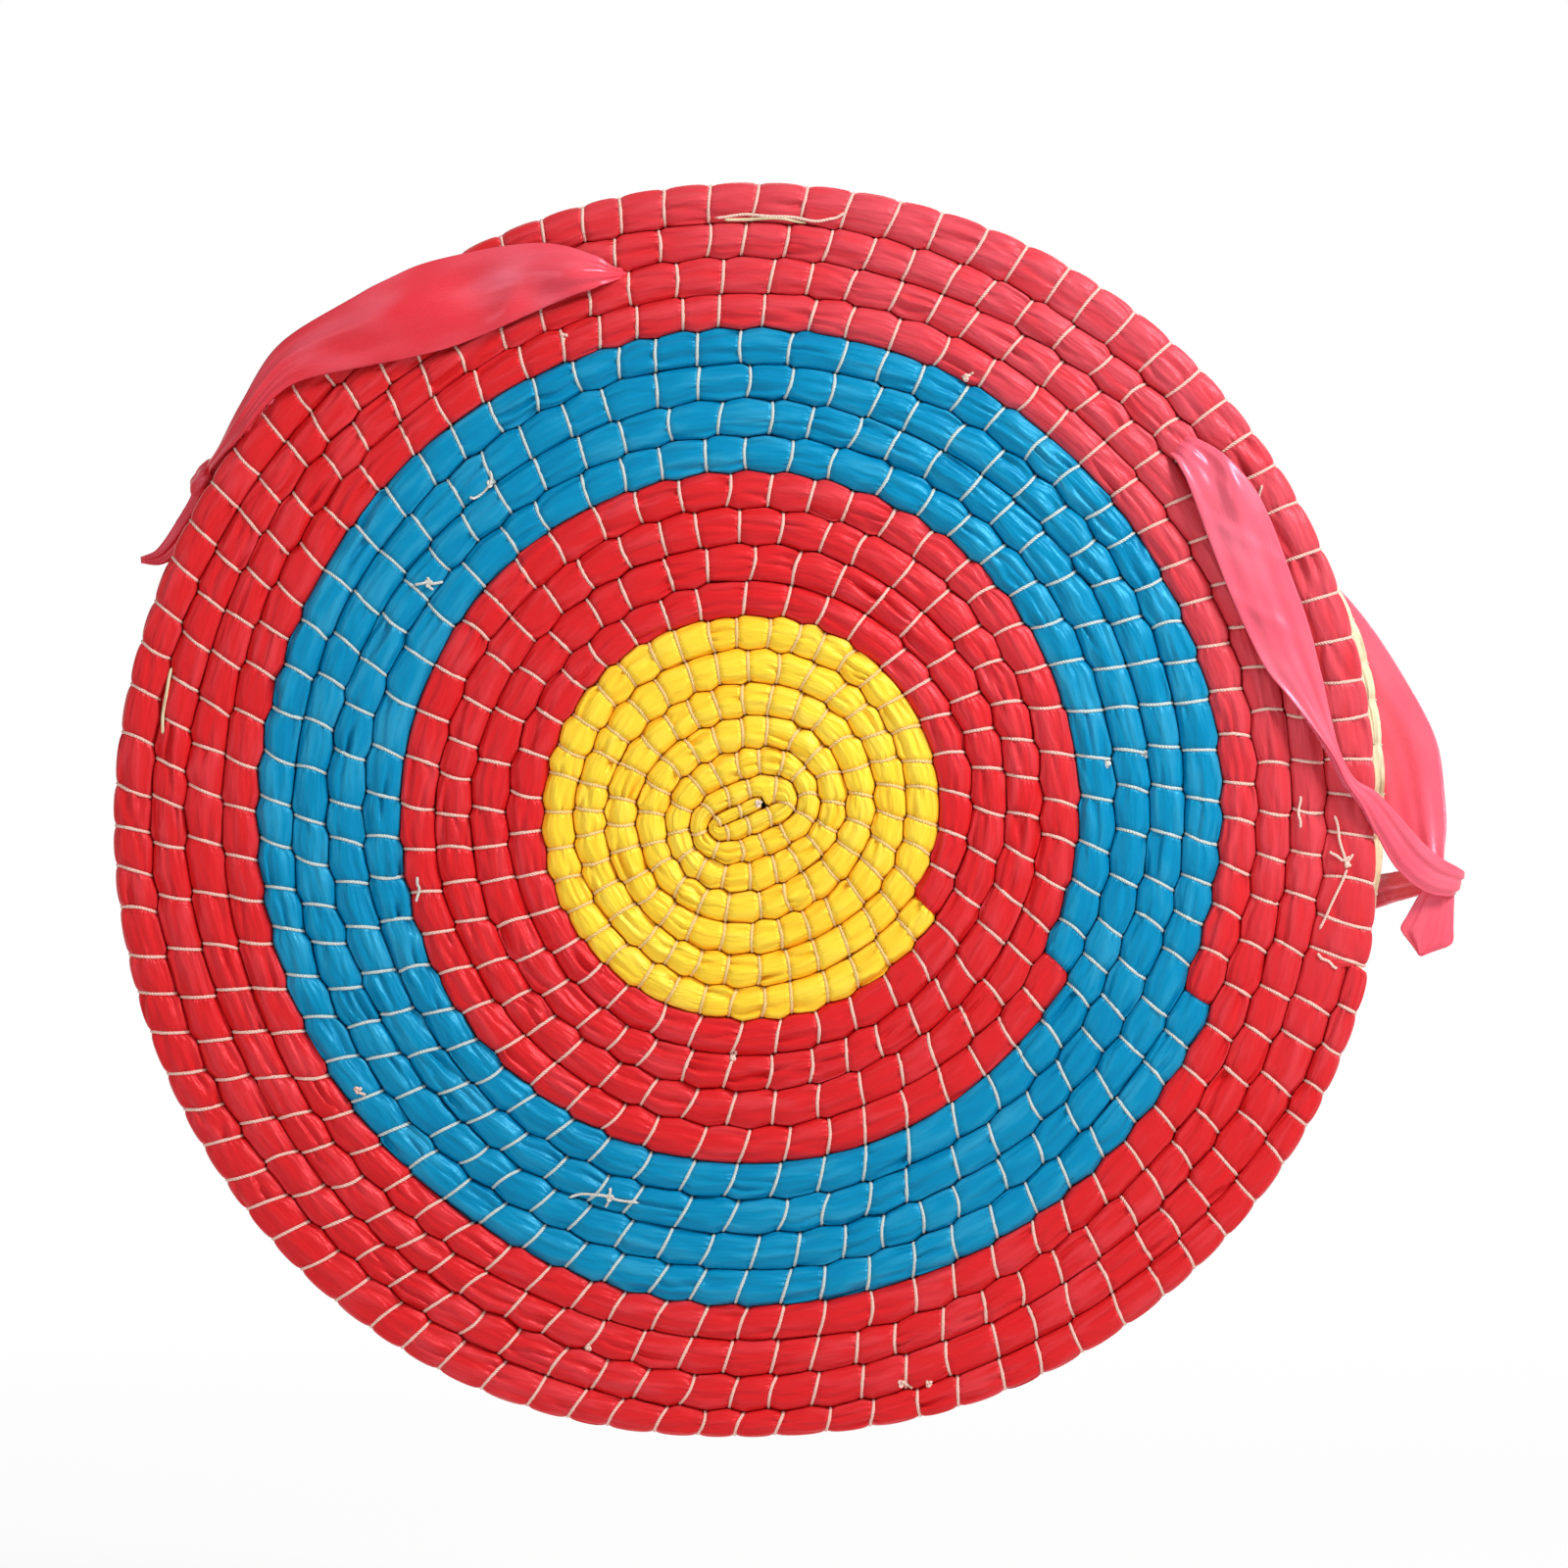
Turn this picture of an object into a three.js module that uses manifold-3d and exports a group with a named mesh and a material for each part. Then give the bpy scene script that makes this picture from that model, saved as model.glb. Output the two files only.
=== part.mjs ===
// A round archery boss of sewn rope. Its face is one rope wrapped in coloured cloth and wound as a
// spiral from an oval eye, and its back is a thicker straw rope wound the same way. Two ribbons go
// through the boss near the rim, each tied in a loop over the rim.
// Millimetres and turns. +Z is up, the face looks along -Y, and the flat back lies on y = 0.

import * as THREE from "three";
import { mergeVertices } from "three/addons/utils/BufferGeometryUtils.js";
import Module from "manifold-3d";

// Clearances
const ROPE_GAP = 0.65; // daylight between one turn of rope and the next
const LAYER_GAP = 0.3; // between the face coil and the back coil
const JOIN_GAP = 0.3; // along the rope, between one colour and the next
const RIBBON_CLEARANCE = 0.5; // between a ribbon and the rope that it passes

const RIM_RADIUS = 256.7; // of the face coil's outer groove, before its end is sewn in
const BACK_INSET = 5.5; // the back coil's outer groove lies this far inside the face's
const EYE_SHIFT_FADE = 60; // radius over which an eye's shift off the centre dies away

// Face coil: the groove outside each turn runs at a radius that grows with the turns wound so far.
// The rope's width follows from the turns that fit inside the reach, and pitches are shares of it.
const FACE = {
  reach: RIM_RADIUS,
  depth: 22, // of the rope, front to back
  stepsPerTurn: 24,
  centreX: 0,
  centreZ: 0,
  eyeX: 0.5, // the eye's place off the centre
  eyeZ: -2.7,
  tiltDegrees: 23, // of the oval eye
  eyeHalfLength: 12,
  eyeFade: 35, // radius over which the oval dies away
  outerOval: 1.5, // what is left of the oval out to the rim
  startWidth: 4,
  startPitch: 3,
  easeTurns: 1, // turns over which the pitch grows to the first run's own
  runs: [
    { name: "yellow_rope", turns: 6.853, pitchShare: 0.957, colour: "#f7cf22" },
    { name: "inner_red_rope", turns: 4.008, pitchShare: 1.036, colour: "#d2232b" },
    { name: "blue_rope", turns: 4.011, pitchShare: 1.011, colour: "#1592c8" },
    { name: "outer_red_rope", turns: 4.025, pitchShare: 1, colour: "#d2232b" },
  ],
  // hand-sewn swells and dents of the groove: at a turn, over a spread of turns, by a share of width
  swells: [
    { turn: 18, spread: 0.16, sizeShare: 0.36 },
    { turn: 18.56, spread: 0.1, sizeShare: 0.17 },
    { turn: 18.69, spread: 0.05, sizeShare: -0.36 },
    { turn: 18.95, spread: 0.06, sizeShare: -0.43 },
  ],
};

// Back coil of bare straw rope, wound to nearly the same size as the face
const BACK = {
  reach: RIM_RADIUS - BACK_INSET,
  depth: 22,
  stepsPerTurn: 16,
  centreX: 4.5,
  centreZ: 0,
  eyeX: 0,
  eyeZ: 0,
  tiltDegrees: -70,
  eyeHalfLength: 14,
  eyeFade: 40,
  outerOval: 0,
  startWidth: 6,
  startPitch: 8,
  easeTurns: 1,
  runs: [{ name: "straw_back_coil", turns: 14.256, pitchShare: 1, colour: "#e6d9a4" }],
  swells: [{ turn: 14.27, spread: 0.05, sizeShare: -0.45 }],
};

// Rope sections as shares of the rope's width and depth: a flat back, and a crown to the front
const FACE_SECTION_SHARES = [
  [-0.3, 0],
  [0.3, 0],
  [0.5, 0.45],
  [0.28, 1],
  [-0.28, 1],
  [-0.5, 0.45],
];
const BACK_SECTION_SHARES = [
  [-0.32, 0],
  [0.32, 0],
  [0.5, 0.5],
  [0, 1],
  [-0.5, 0.5],
];
const EYE_SHARPNESS_SHARE = 2; // how squarely the first turn folds at the eye's ends
const START_STEPS = 5; // the rope starts this many steps into its first turn
const LEAST_STEP_SHARE = 0.02; // a ring this near a run's end gives way to it
const NEIGHBOUR_TURN_SHARE = 0.25; // how far along the next turn a neighbouring edge is looked for

// Ribbons
const RIBBON_WIDTH = 40;
const RIBBON_THICKNESS = 1.4; // of the soft solid, over the cloth's slight folds
const BUNDLE_WIDTH = 8; // where the ribbon is gathered to pass through the boss
const BUNDLE_THICKNESS = 3.5;
const GATHERED_THICKNESS = 2.4; // where it is drawn over the rim
const ELBOW_RADIUS = 2.4; // of the gathered ribbon's middle, where it turns onto a face
const KNOT_HALF_DEPTH = 6;
const KNOT_REACH = 1.5; // each leg ends this far short of the knot's middle
const EYELET_SIDES = 8;
const EYELET_OVERRUN = 1;
const GROOVES_IN_FROM_RIM = 2; // the ribbon goes in between the second and third turns

// In the legs, along and bow are shares of the leg from slot to knot. A bow is outward, towards the
// rim. Widths, and the sizes of knots and tails, are shares of the ribbon's width.
const RIBBONS = [
  {
    name: "left_ribbon",
    slotDegrees: 103.8,
    knotDegrees: 148.8,
    knotSlackShare: 0, // how far off the rim the knot hangs, past its clearance
    knotHalfLengthShare: 0.2,
    knotHalfWidthShare: 0.125,
    knotTurnDegrees: 0, // of its long axis, from the rim's own direction
    overShare: 0.15, // the width where it goes over the rim's edge
    faceShares: [
      { along: 0.07, bow: 0.04, width: 0.5 },
      { along: 0.22, bow: 0.073, width: 0.8 },
      { along: 0.38, bow: 0.096, width: 0.79 },
      { along: 0.55, bow: 0.115, width: 0.59 },
      { along: 0.68, bow: 0.13, width: 0.56 },
      { along: 0.78, bow: 0.1, width: 0.44 },
      { along: 0.88, bow: 0.038, width: 0.27 },
    ],
    backShares: [
      { along: 0.1, bow: 0, width: 0.5 },
      { along: 0.4, bow: 0, width: 0.8 },
      { along: 0.84, bow: 0, width: 0.4 },
    ],
    tails: [{ headingDegrees: 231, lengthShare: 1, startShare: 0.15, endShare: 0.075, depthShare: 0.5 }],
  },
  {
    name: "right_ribbon",
    slotDegrees: 39.6,
    knotDegrees: -5.9,
    knotSlackShare: 0.4,
    knotHalfLengthShare: 0.25,
    knotHalfWidthShare: 0.175,
    knotTurnDegrees: 80,
    overShare: 0.275,
    faceShares: [
      { along: 0.06, bow: 0.03, width: 0.45 },
      { along: 0.16, bow: 0.03, width: 0.62 },
      { along: 0.35, bow: 0, width: 0.69 },
      { along: 0.51, bow: -0.032, width: 0.36 },
      { along: 0.66, bow: -0.052, width: 0.16 },
      { along: 0.77, bow: -0.043, width: 0.19 },
    ],
    backShares: [
      { along: 0.1, bow: 0.02, width: 0.5 },
      { along: 0.38, bow: 0.07, width: 0.75 },
      { along: 0.6, bow: 0.085, width: 0.75 },
    ],
    tails: [
      { headingDegrees: 262, lengthShare: 0.7, startShare: 0.325, endShare: 0.5, depthShare: 0.5 },
      { headingDegrees: 189, lengthShare: 0.65, startShare: 0.2, endShare: 0.325, depthShare: 0.75 },
    ],
  },
];
const RIBBON_COLOUR = "#ea5068";
const RIBBON_SECTION_SHARES = [
  [-0.5, 0],
  [-0.17, -0.5],
  [0.17, -0.5],
  [0.5, 0],
  [0.17, 0.5],
  [-0.17, 0.5],
];

const CLOTH_ROUGHNESS = 0.5;
const STRAW_ROUGHNESS = 0.9;
const RIBBON_ROUGHNESS = 0.35;

const THICKNESS = BACK.depth + LAYER_GAP + FACE.depth;
const END_AND_MIDDLE_SHARES = [0, 0.5, 1];
const FULL_TURN = 2 * Math.PI;
const radians = THREE.MathUtils.degToRad;
for (const coil of [FACE, BACK]) coil.ropeWidth = widthToReach(coil);

const wasm = await Module();
wasm.setup();

// The radius of the groove outside the rope after so many turns; before the rope starts it is zero.
function grooveRadius(coil, turn) {
  if (turn < startTurn(coil) - 1 / coil.stepsPerTurn) return 0;
  const { ropeWidth, runs, swells } = coil;
  const firstPitch = runs[0].pitchShare * ropeWidth;
  let radius = coil.startWidth - (firstPitch - coil.startPitch) * easedTurns(coil, turn);
  let wound = 0;
  for (const run of runs) {
    radius += run.pitchShare * ropeWidth * THREE.MathUtils.clamp(turn - wound, 0, run.turns);
    wound += run.turns;
  }
  for (const swell of swells) {
    radius += swell.sizeShare * ropeWidth * Math.exp(-(((turn - swell.turn) / swell.spread) ** 2));
  }
  return radius;
}

// How many of the turns wound so far count at the start's own pitch.
function easedTurns(coil, turn) {
  return coil.easeTurns * (1 - Math.exp(-turn / coil.easeTurns));
}

// The rope width that takes a coil out to its reach.
function widthToReach(coil) {
  const eased = easedTurns(coil, turnsIn(coil));
  const full = coil.runs.reduce((sum, run) => sum + run.turns * run.pitchShare, 0);
  const pitches = full - coil.runs[0].pitchShare * eased;
  return (coil.reach - coil.startWidth - coil.startPitch * eased) / pitches;
}

function startTurn(coil) {
  return START_STEPS / coil.stepsPerTurn;
}

function turnsIn(coil) {
  return coil.runs.reduce((sum, run) => sum + run.turns, 0);
}

// A point of the groove on the face plane: a circle's radius, drawn out along the eye's axis and
// shifted towards the eye.
function groovePoint(coil, radius, turn) {
  const tilt = radians(coil.tiltDegrees);
  const angle = tilt + FULL_TURN * turn;
  const shift = Math.exp(-radius / EYE_SHIFT_FADE);
  const stretch = coil.eyeHalfLength * Math.exp(-radius / coil.eyeFade) + coil.outerOval;
  const along = stretch * Math.tanh(EYE_SHARPNESS_SHARE * Math.cos(angle - tilt));
  return new THREE.Vector2(
    coil.centreX + coil.eyeX * shift + radius * Math.cos(angle) + along * Math.cos(tilt),
    coil.centreZ + coil.eyeZ * shift + radius * Math.sin(angle) + along * Math.sin(tilt),
  );
}

// The rope's two edges after so many turns, each half a gap inside its groove. They run straight
// between the coil's even steps, so that neighbouring turns stay side by side.
function ropeEdges(coil, turn) {
  const step = Math.floor(turn * coil.stepsPerTurn);
  const part = turn * coil.stepsPerTurn - step;
  const here = edgesAtStep(coil, step);
  const next = edgesAtStep(coil, step + 1);
  return here.map((edge, i) => edge.lerp(next[i], part));
}

function edgesAtStep(coil, step) {
  const turn = step / coil.stepsPerTurn;
  const inner = groovePoint(coil, grooveRadius(coil, turn - 1), turn);
  const outer = groovePoint(coil, grooveRadius(coil, turn), turn);
  const inset = outer.clone().sub(inner).setLength(ROPE_GAP / 2);
  return [inner.add(inset), outer.sub(inset)];
}

// A closed solid through rings of as many points each, with a flat cap at each end.
function solidThroughRings(rings) {
  const sides = rings[0].length;
  const position = rings.flat().flatMap((p) => [p.x, p.y, p.z]);
  const index = [];
  for (let ring = 0; ring + 1 < rings.length; ring++) {
    for (let side = 0; side < sides; side++) {
      const a = ring * sides + side;
      const b = ring * sides + ((side + 1) % sides);
      index.push(a, b, a + sides, b, b + sides, a + sides);
    }
  }
  const last = (rings.length - 1) * sides;
  for (let side = 1; side + 1 < sides; side++) {
    index.push(0, side + 1, side, last, last + side, last + side + 1);
  }
  const geometry = new THREE.BufferGeometry();
  geometry.setAttribute("position", new THREE.Float32BufferAttribute(position, 3));
  geometry.setIndex(index);
  return facingOut(toManifold(geometry), geometry);
}

function toManifold(geometry) {
  const bare = geometry.clone();
  bare.deleteAttribute("normal");
  bare.deleteAttribute("uv");
  const merged = mergeVertices(bare);
  const mesh = new wasm.Mesh({
    numProp: 3,
    vertProperties: merged.attributes.position.array,
    triVerts: new Uint32Array(merged.index.array),
  });
  return new wasm.Manifold(mesh);
}

// A sweep that runs the other way round comes out inside out, so its triangles are turned round.
function facingOut(solid, geometry) {
  if (solid.volume() > 0) return solid;
  const index = geometry.index.array;
  for (let i = 0; i < index.length; i += 3) {
    [index[i + 1], index[i + 2]] = [index[i + 2], index[i + 1]];
  }
  return toManifold(geometry);
}

function toMesh(name, solid, colour, roughness) {
  const { vertProperties, triVerts } = solid.getMesh();
  const geometry = new THREE.BufferGeometry();
  geometry.setAttribute("position", new THREE.BufferAttribute(vertProperties, 3));
  geometry.setIndex(new THREE.BufferAttribute(triVerts, 1));
  geometry.computeVertexNormals();
  const material = new THREE.MeshStandardMaterial({ color: colour, roughness, metalness: 0 });
  const mesh = new THREE.Mesh(geometry, material);
  mesh.name = name;
  return mesh;
}

// The turns at which a run of rope has its rings: the coil's even steps, and the run's own ends.
function ringTurns(coil, from, to) {
  const step = 1 / coil.stepsPerTurn;
  const least = LEAST_STEP_SHARE * step;
  const turns = [from];
  for (let i = Math.ceil(from / step); i * step < to - least; i++) {
    if (i * step > from + least) turns.push(i * step);
  }
  return [...turns, to];
}

function ropeRing(coil, turn, shares, backY) {
  const [inner, outer] = ropeEdges(coil, turn);
  return shares.map(([across, forward]) => {
    const p = inner.clone().lerp(outer, across + 1 / 2);
    return new THREE.Vector3(p.x, backY - forward * coil.depth, p.y);
  });
}

// The least distance between the outer edge of a run and the inner edge one turn further on.
function leastGap(coil, turns) {
  let least = Infinity;
  const edges = turns.map((turn) => ropeEdges(coil, turn));
  for (let i = 0; i < turns.length; i++) {
    for (let j = 0; j + 1 < turns.length; j++) {
      if (Math.abs(turns[j] - turns[i] - 1) > NEIGHBOUR_TURN_SHARE) continue;
      const wall = new THREE.Line3(flat(edges[j][0]), flat(edges[j + 1][0]));
      const corner = flat(edges[i][1]);
      const foot = wall.closestPointToPoint(corner, true, new THREE.Vector3());
      least = Math.min(least, foot.distanceTo(corner));
    }
  }
  return least;
}

function flat(point) {
  return new THREE.Vector3(point.x, 0, point.y);
}

// Each run of a coil as one unbroken rope, with its least gap to itself printed.
function coilSolids(coil, shares, backY) {
  const solids = [];
  let wound = 0;
  for (const run of coil.runs) {
    const halfJoin = JOIN_GAP / 2 / (FULL_TURN * Math.max(grooveRadius(coil, wound), coil.startWidth));
    const from = wound === 0 ? startTurn(coil) : wound + halfJoin;
    wound += run.turns;
    const to = wound - JOIN_GAP / 2 / (FULL_TURN * grooveRadius(coil, wound));
    const turns = ringTurns(coil, from, to);
    const rings = turns.map((turn) => ropeRing(coil, turn, shares, backY));
    console.log(`${run.name}: ${turns.length} rings, least gap ${leastGap(coil, turns).toFixed(2)} mm`);
    solids.push({ run, solid: solidThroughRings(rings) });
  }
  return solids;
}

// The groove radius at an angle, counted in whole turns in from the rope's outer end.
function grooveAt(coil, degrees, groovesIn) {
  const end = turnsIn(coil);
  const part = THREE.MathUtils.euclideanModulo((degrees - coil.tiltDegrees) / 360 - end, 1);
  const turn = end + part - 1 - groovesIn;
  return groovePoint(coil, grooveRadius(coil, turn), turn);
}

function rimRadius(degrees) {
  return Math.max(grooveAt(FACE, degrees, 0).length(), grooveAt(BACK, degrees, 0).length());
}

// Where a line from the slot to the knot comes out to a radius from the boss's centre.
function distanceToRadius(slot, direction, radius) {
  const along = slot.dot(direction);
  return -along + Math.sqrt(along * along + radius * radius - slot.lengthSq());
}

// A ribbon's slot and knot on the face plane, and the straight line between them.
function ribbonLayout(ribbon) {
  const slot = grooveAt(FACE, ribbon.slotDegrees, GROOVES_IN_FROM_RIM);
  const clearRim = rimRadius(ribbon.knotDegrees) + RIBBON_CLEARANCE;
  const outward = radians(ribbon.knotDegrees);
  const knot = new THREE.Vector2(Math.cos(outward), Math.sin(outward));
  knot.multiplyScalar(clearRim + (ribbon.knotHalfWidthShare + ribbon.knotSlackShare) * RIBBON_WIDTH);
  const heading = knot.clone().sub(slot);
  const length = heading.length();
  heading.normalize();
  const sideways = new THREE.Vector2(heading.y, -heading.x);
  if (sideways.dot(slot) < 0) sideways.negate();
  const over = distanceToRadius(slot, heading, clearRim + (ribbon.overShare * RIBBON_WIDTH) / 2);
  return { slot, knot, heading, sideways, length, over };
}

// One leg's stations, from inside the boss to inside the knot: how far along the heading and to
// its side, the depth y, the width and thickness, and the ribbon's outer normal as [along, y].
function legStations(ribbon, layout, faceY, outward, shares) {
  const lying = (thickness) => faceY + outward * (RIBBON_CLEARANCE + thickness / 2);
  const elbowY = lying(BUNDLE_THICKNESS) - outward * ELBOW_RADIUS;
  const stations = END_AND_MIDDLE_SHARES.map((share) => {
    const turned = (share * Math.PI) / 2;
    return {
      along: ELBOW_RADIUS * (1 - Math.cos(turned)),
      y: elbowY + outward * ELBOW_RADIUS * Math.sin(turned),
      bow: 0,
      width: BUNDLE_WIDTH,
      thickness: BUNDLE_THICKNESS,
      normal: [-Math.cos(turned), outward * Math.sin(turned)],
    };
  });
  for (const share of shares) {
    stations.push({
      along: share.along * layout.length,
      y: lying(RIBBON_THICKNESS),
      bow: share.bow * layout.length,
      width: share.width * RIBBON_WIDTH,
      thickness: RIBBON_THICKNESS,
      normal: [0, outward],
    });
  }
  const gathered = { bow: 0, width: ribbon.overShare * RIBBON_WIDTH, thickness: GATHERED_THICKNESS };
  const knotY = -THICKNESS / 2 + outward * KNOT_REACH;
  stations.push({ along: layout.over, y: lying(GATHERED_THICKNESS), normal: [1, outward], ...gathered });
  stations.push({ along: layout.length, y: knotY, normal: [1, 0], ...gathered });
  return stations;
}

function stationPoint({ slot, heading, sideways }, station) {
  const p = slot.clone().addScaledVector(heading, station.along).addScaledVector(sideways, station.bow);
  return new THREE.Vector3(p.x, station.y, p.y);
}

// The ring at a station, square to the way that the route runs through it.
function stationRing(layout, stations, i) {
  const before = stationPoint(layout, stations[Math.max(i - 1, 0)]);
  const after = stationPoint(layout, stations[Math.min(i + 1, stations.length - 1)]);
  const middle = stationPoint(layout, stations[i]);
  const tangent = after.sub(before).normalize();
  const [along, y] = stations[i].normal;
  const normal = new THREE.Vector3(layout.heading.x * along, y, layout.heading.y * along);
  const across = tangent.clone().cross(normal).normalize();
  normal.copy(across).cross(tangent).normalize();
  return RIBBON_SECTION_SHARES.map(([u, v]) =>
    middle
      .clone()
      .addScaledVector(across, u * stations[i].width)
      .addScaledVector(normal, v * stations[i].thickness),
  );
}

function knotSolid(ribbon, layout) {
  const lump = new THREE.IcosahedronGeometry(1, 1);
  const [halfWidth, halfLength] = [ribbon.knotHalfWidthShare, ribbon.knotHalfLengthShare];
  lump.scale(halfWidth * RIBBON_WIDTH, KNOT_HALF_DEPTH, halfLength * RIBBON_WIDTH);
  lump.rotateY(-radians(ribbon.knotDegrees + ribbon.knotTurnDegrees));
  lump.translate(layout.knot.x, -THICKNESS / 2, layout.knot.y);
  return toManifold(lump);
}

// A loose end of ribbon, from the middle of the knot to its cut edge.
function tailSolid(tail, layout) {
  const direction = radians(tail.headingDegrees);
  const end = new THREE.Vector2(Math.cos(direction), Math.sin(direction));
  end.multiplyScalar(tail.lengthShare * RIBBON_WIDTH);
  const across = new THREE.Vector3(-Math.sin(direction), 0, Math.cos(direction));
  const depth = new THREE.Vector3(0, 1, 0);
  const rings = END_AND_MIDDLE_SHARES.map((share) => {
    const y = -THICKNESS * THREE.MathUtils.lerp(1 / 2, tail.depthShare, share);
    const middle = new THREE.Vector3(layout.knot.x + end.x * share, y, layout.knot.y + end.y * share);
    const width = THREE.MathUtils.lerp(tail.startShare, tail.endShare, share) * RIBBON_WIDTH;
    return RIBBON_SECTION_SHARES.map(([u, v]) =>
      middle.clone().addScaledVector(across, u * width).addScaledVector(depth, v * RIBBON_THICKNESS),
    );
  });
  return solidThroughRings(rings);
}

function ribbonSolid(ribbon) {
  const layout = ribbonLayout(ribbon);
  const back = legStations(ribbon, layout, 0, 1, ribbon.backShares).reverse();
  const front = legStations(ribbon, layout, -THICKNESS, -1, ribbon.faceShares);
  const stations = [...back, ...front];
  const rings = stations.map((station, i) => stationRing(layout, stations, i));
  let solid = solidThroughRings(rings).add(knotSolid(ribbon, layout));
  for (const tail of ribbon.tails) solid = solid.add(tailSolid(tail, layout));
  return solid;
}

// The round way through both coils that a gathered ribbon turns in.
function eyeletCutter(ribbon) {
  const { slot } = ribbonLayout(ribbon);
  const length = THICKNESS + 2 * EYELET_OVERRUN;
  const radius = BUNDLE_WIDTH / 2 + RIBBON_CLEARANCE;
  const cutter = new THREE.CylinderGeometry(radius, radius, length, EYELET_SIDES);
  cutter.translate(slot.x, -THICKNESS / 2, slot.y);
  return toManifold(cutter);
}

const eyelets = RIBBONS.map(eyeletCutter);
const boss = new THREE.Group();
const coils = [
  { coil: FACE, shares: FACE_SECTION_SHARES, backY: -BACK.depth - LAYER_GAP, roughness: CLOTH_ROUGHNESS },
  { coil: BACK, shares: BACK_SECTION_SHARES, backY: 0, roughness: STRAW_ROUGHNESS },
];
for (const { coil, shares, backY, roughness } of coils) {
  for (const { run, solid } of coilSolids(coil, shares, backY)) {
    const open = eyelets.reduce((cut, eyelet) => cut.subtract(eyelet), solid);
    boss.add(toMesh(run.name, open, run.colour, roughness));
  }
}
for (const ribbon of RIBBONS) {
  boss.add(toMesh(ribbon.name, ribbonSolid(ribbon), RIBBON_COLOUR, RIBBON_ROUGHNESS));
}

export default boss;
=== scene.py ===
"""An archery boss of sewn rope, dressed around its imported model: four runs of cloth-wrapped rope
on the face, a straw rope behind them, the twine that sews both, and two satin ribbons tied over
the rim. Metres, in the model's own frame: +Z is up, the face looks along -Y, and the flat back lies
on y = 0."""

import math

import bmesh
import bpy
import numpy as np
from bpy.props import FloatProperty, FloatVectorProperty, PointerProperty
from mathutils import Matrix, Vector


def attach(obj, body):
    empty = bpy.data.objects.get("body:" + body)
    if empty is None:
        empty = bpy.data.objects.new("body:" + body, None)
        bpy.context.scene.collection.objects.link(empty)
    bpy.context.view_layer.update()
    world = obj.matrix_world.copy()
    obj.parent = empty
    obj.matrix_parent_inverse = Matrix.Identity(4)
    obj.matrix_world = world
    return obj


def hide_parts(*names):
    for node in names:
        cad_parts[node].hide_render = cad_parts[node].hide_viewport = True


bl_info = {
    "name": "Archery boss",
    "version": (1, 0, 0),
    "blender": (4, 5, 0),
    "location": "View3D > Sidebar > Archery boss",
    "description": "Makes a round archery boss of sewn rope, with its twine and ribbons",
    "category": "Add Mesh",
}

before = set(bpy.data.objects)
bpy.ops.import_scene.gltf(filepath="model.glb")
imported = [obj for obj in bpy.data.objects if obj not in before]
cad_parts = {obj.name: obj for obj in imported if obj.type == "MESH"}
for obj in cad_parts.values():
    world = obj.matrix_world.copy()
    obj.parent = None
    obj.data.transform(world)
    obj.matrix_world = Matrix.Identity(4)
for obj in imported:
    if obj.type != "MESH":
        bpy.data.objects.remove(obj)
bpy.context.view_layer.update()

MM = 0.001
FULL_TURN = 2 * math.pi
SEED = 7

# The coils, with the same sizes as the model's solids
RIM_RADIUS = 256.7 * MM
BACK_INSET = 5.5 * MM
EYE_SHIFT_FADE = 60 * MM  # how far out the turns are off the middle with the eye
EYE_SHARPNESS = 2  # how straight the sides of the oval eye are
ROPE_DEPTH = 22 * MM
LAYER_GAP = 0.3 * MM
START_STEPS = 5  # straight steps of the solid that its rope's start takes
OPENING_RATE = 16  # the groove opens in one of this many parts of the rope's start
THICKNESS = 2 * ROPE_DEPTH + LAYER_GAP

# Sewing
SAMPLES_PER_TURN = 240
STITCH_JITTER = 0.1  # share of a cell's length
LEAN = 3.2 * MM  # how far a stitch's outer end lies clockwise of its inner end
LEAN_FULL_TURN = 12  # the turn by which the lean is full
LEAN_SWAY = 1.6 * MM
SWAY_FULL_TURN = 6
SWAY_RATE, SWAY_START = 1.03, 0.2  # swings of the lean in a turn, and where they start
LEAST_LEAN = 0.2  # share of the lean and its sway that the first stitches have
LEAN_JITTER = 0.7 * MM
BOW_JITTER = 0.5 * MM
MOST_JITTER = 2  # in standard deviations
END_STITCH_AFTER = 2 * MM  # how far past the rope's tucked end the turn beside it is sewn

# The stitches' paths over the rope's section, with angles as below
STITCH_SIDES = 6
STITCH_ANGLES = (-60, -49, -43, -35, -24, -12, 0, 12, 24, 35, 43, 49, 60)
RIM_STITCH_ANGLES = (-60, -49, -43, -35, -18, 0, 20, 35, 43, 49, 90, 128, 150)
STITCH_PROUD = 0.35  # share of the twine's radius that it lies above the pulled-in cloth

# The dip that a stitch makes: shares of it that are sharp and soft, each with its reach
SHARP_DIP = (0.65, 1.2 * MM)
SOFT_DIP = (0.35, 3.5 * MM)
SIDE_DIP = 0.5  # how much more the rope's sides are pulled in than its crown
FULL_DIP_WIDTH = 5 * MM  # half width of rope that is pulled in fully
LEAST_DIP = 0.4  # share of the dip that the narrowest rope has
PULL_REACH = 2.5 * MM  # how far from a stitch the cloth is gathered

# The rope's section: 0 degrees is the crown, 90 the outer side, -90 the inner side
CORNER_ANGLES = (42, 45, 48, 51.5)
HIDDEN_ANGLES = (90, 130, 140, 180, 220, 230, 270)
CORNER_ROUND = 0.2  # corner radius of the rope's section, as a share of its half width and depth
CROWN_DROP = 0.22  # how much lower the rope's front is at its sides, as a share of its half depth
SIDE_GAP = 0.04 * MM  # between the rope's side and the groove's middle
LEAST_HALF_WIDTH = 2 * MM  # narrower rope has its gap narrowed with it
CORNER_NOTCH = 0.25 * MM  # how much wider the gap is at the rope's front beside a stitch
CORNER_REACH = 1.3 * MM
DENT_NOTCH = 0.12  # how far a dent narrows the rope, as a share of the dent's depth

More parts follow.
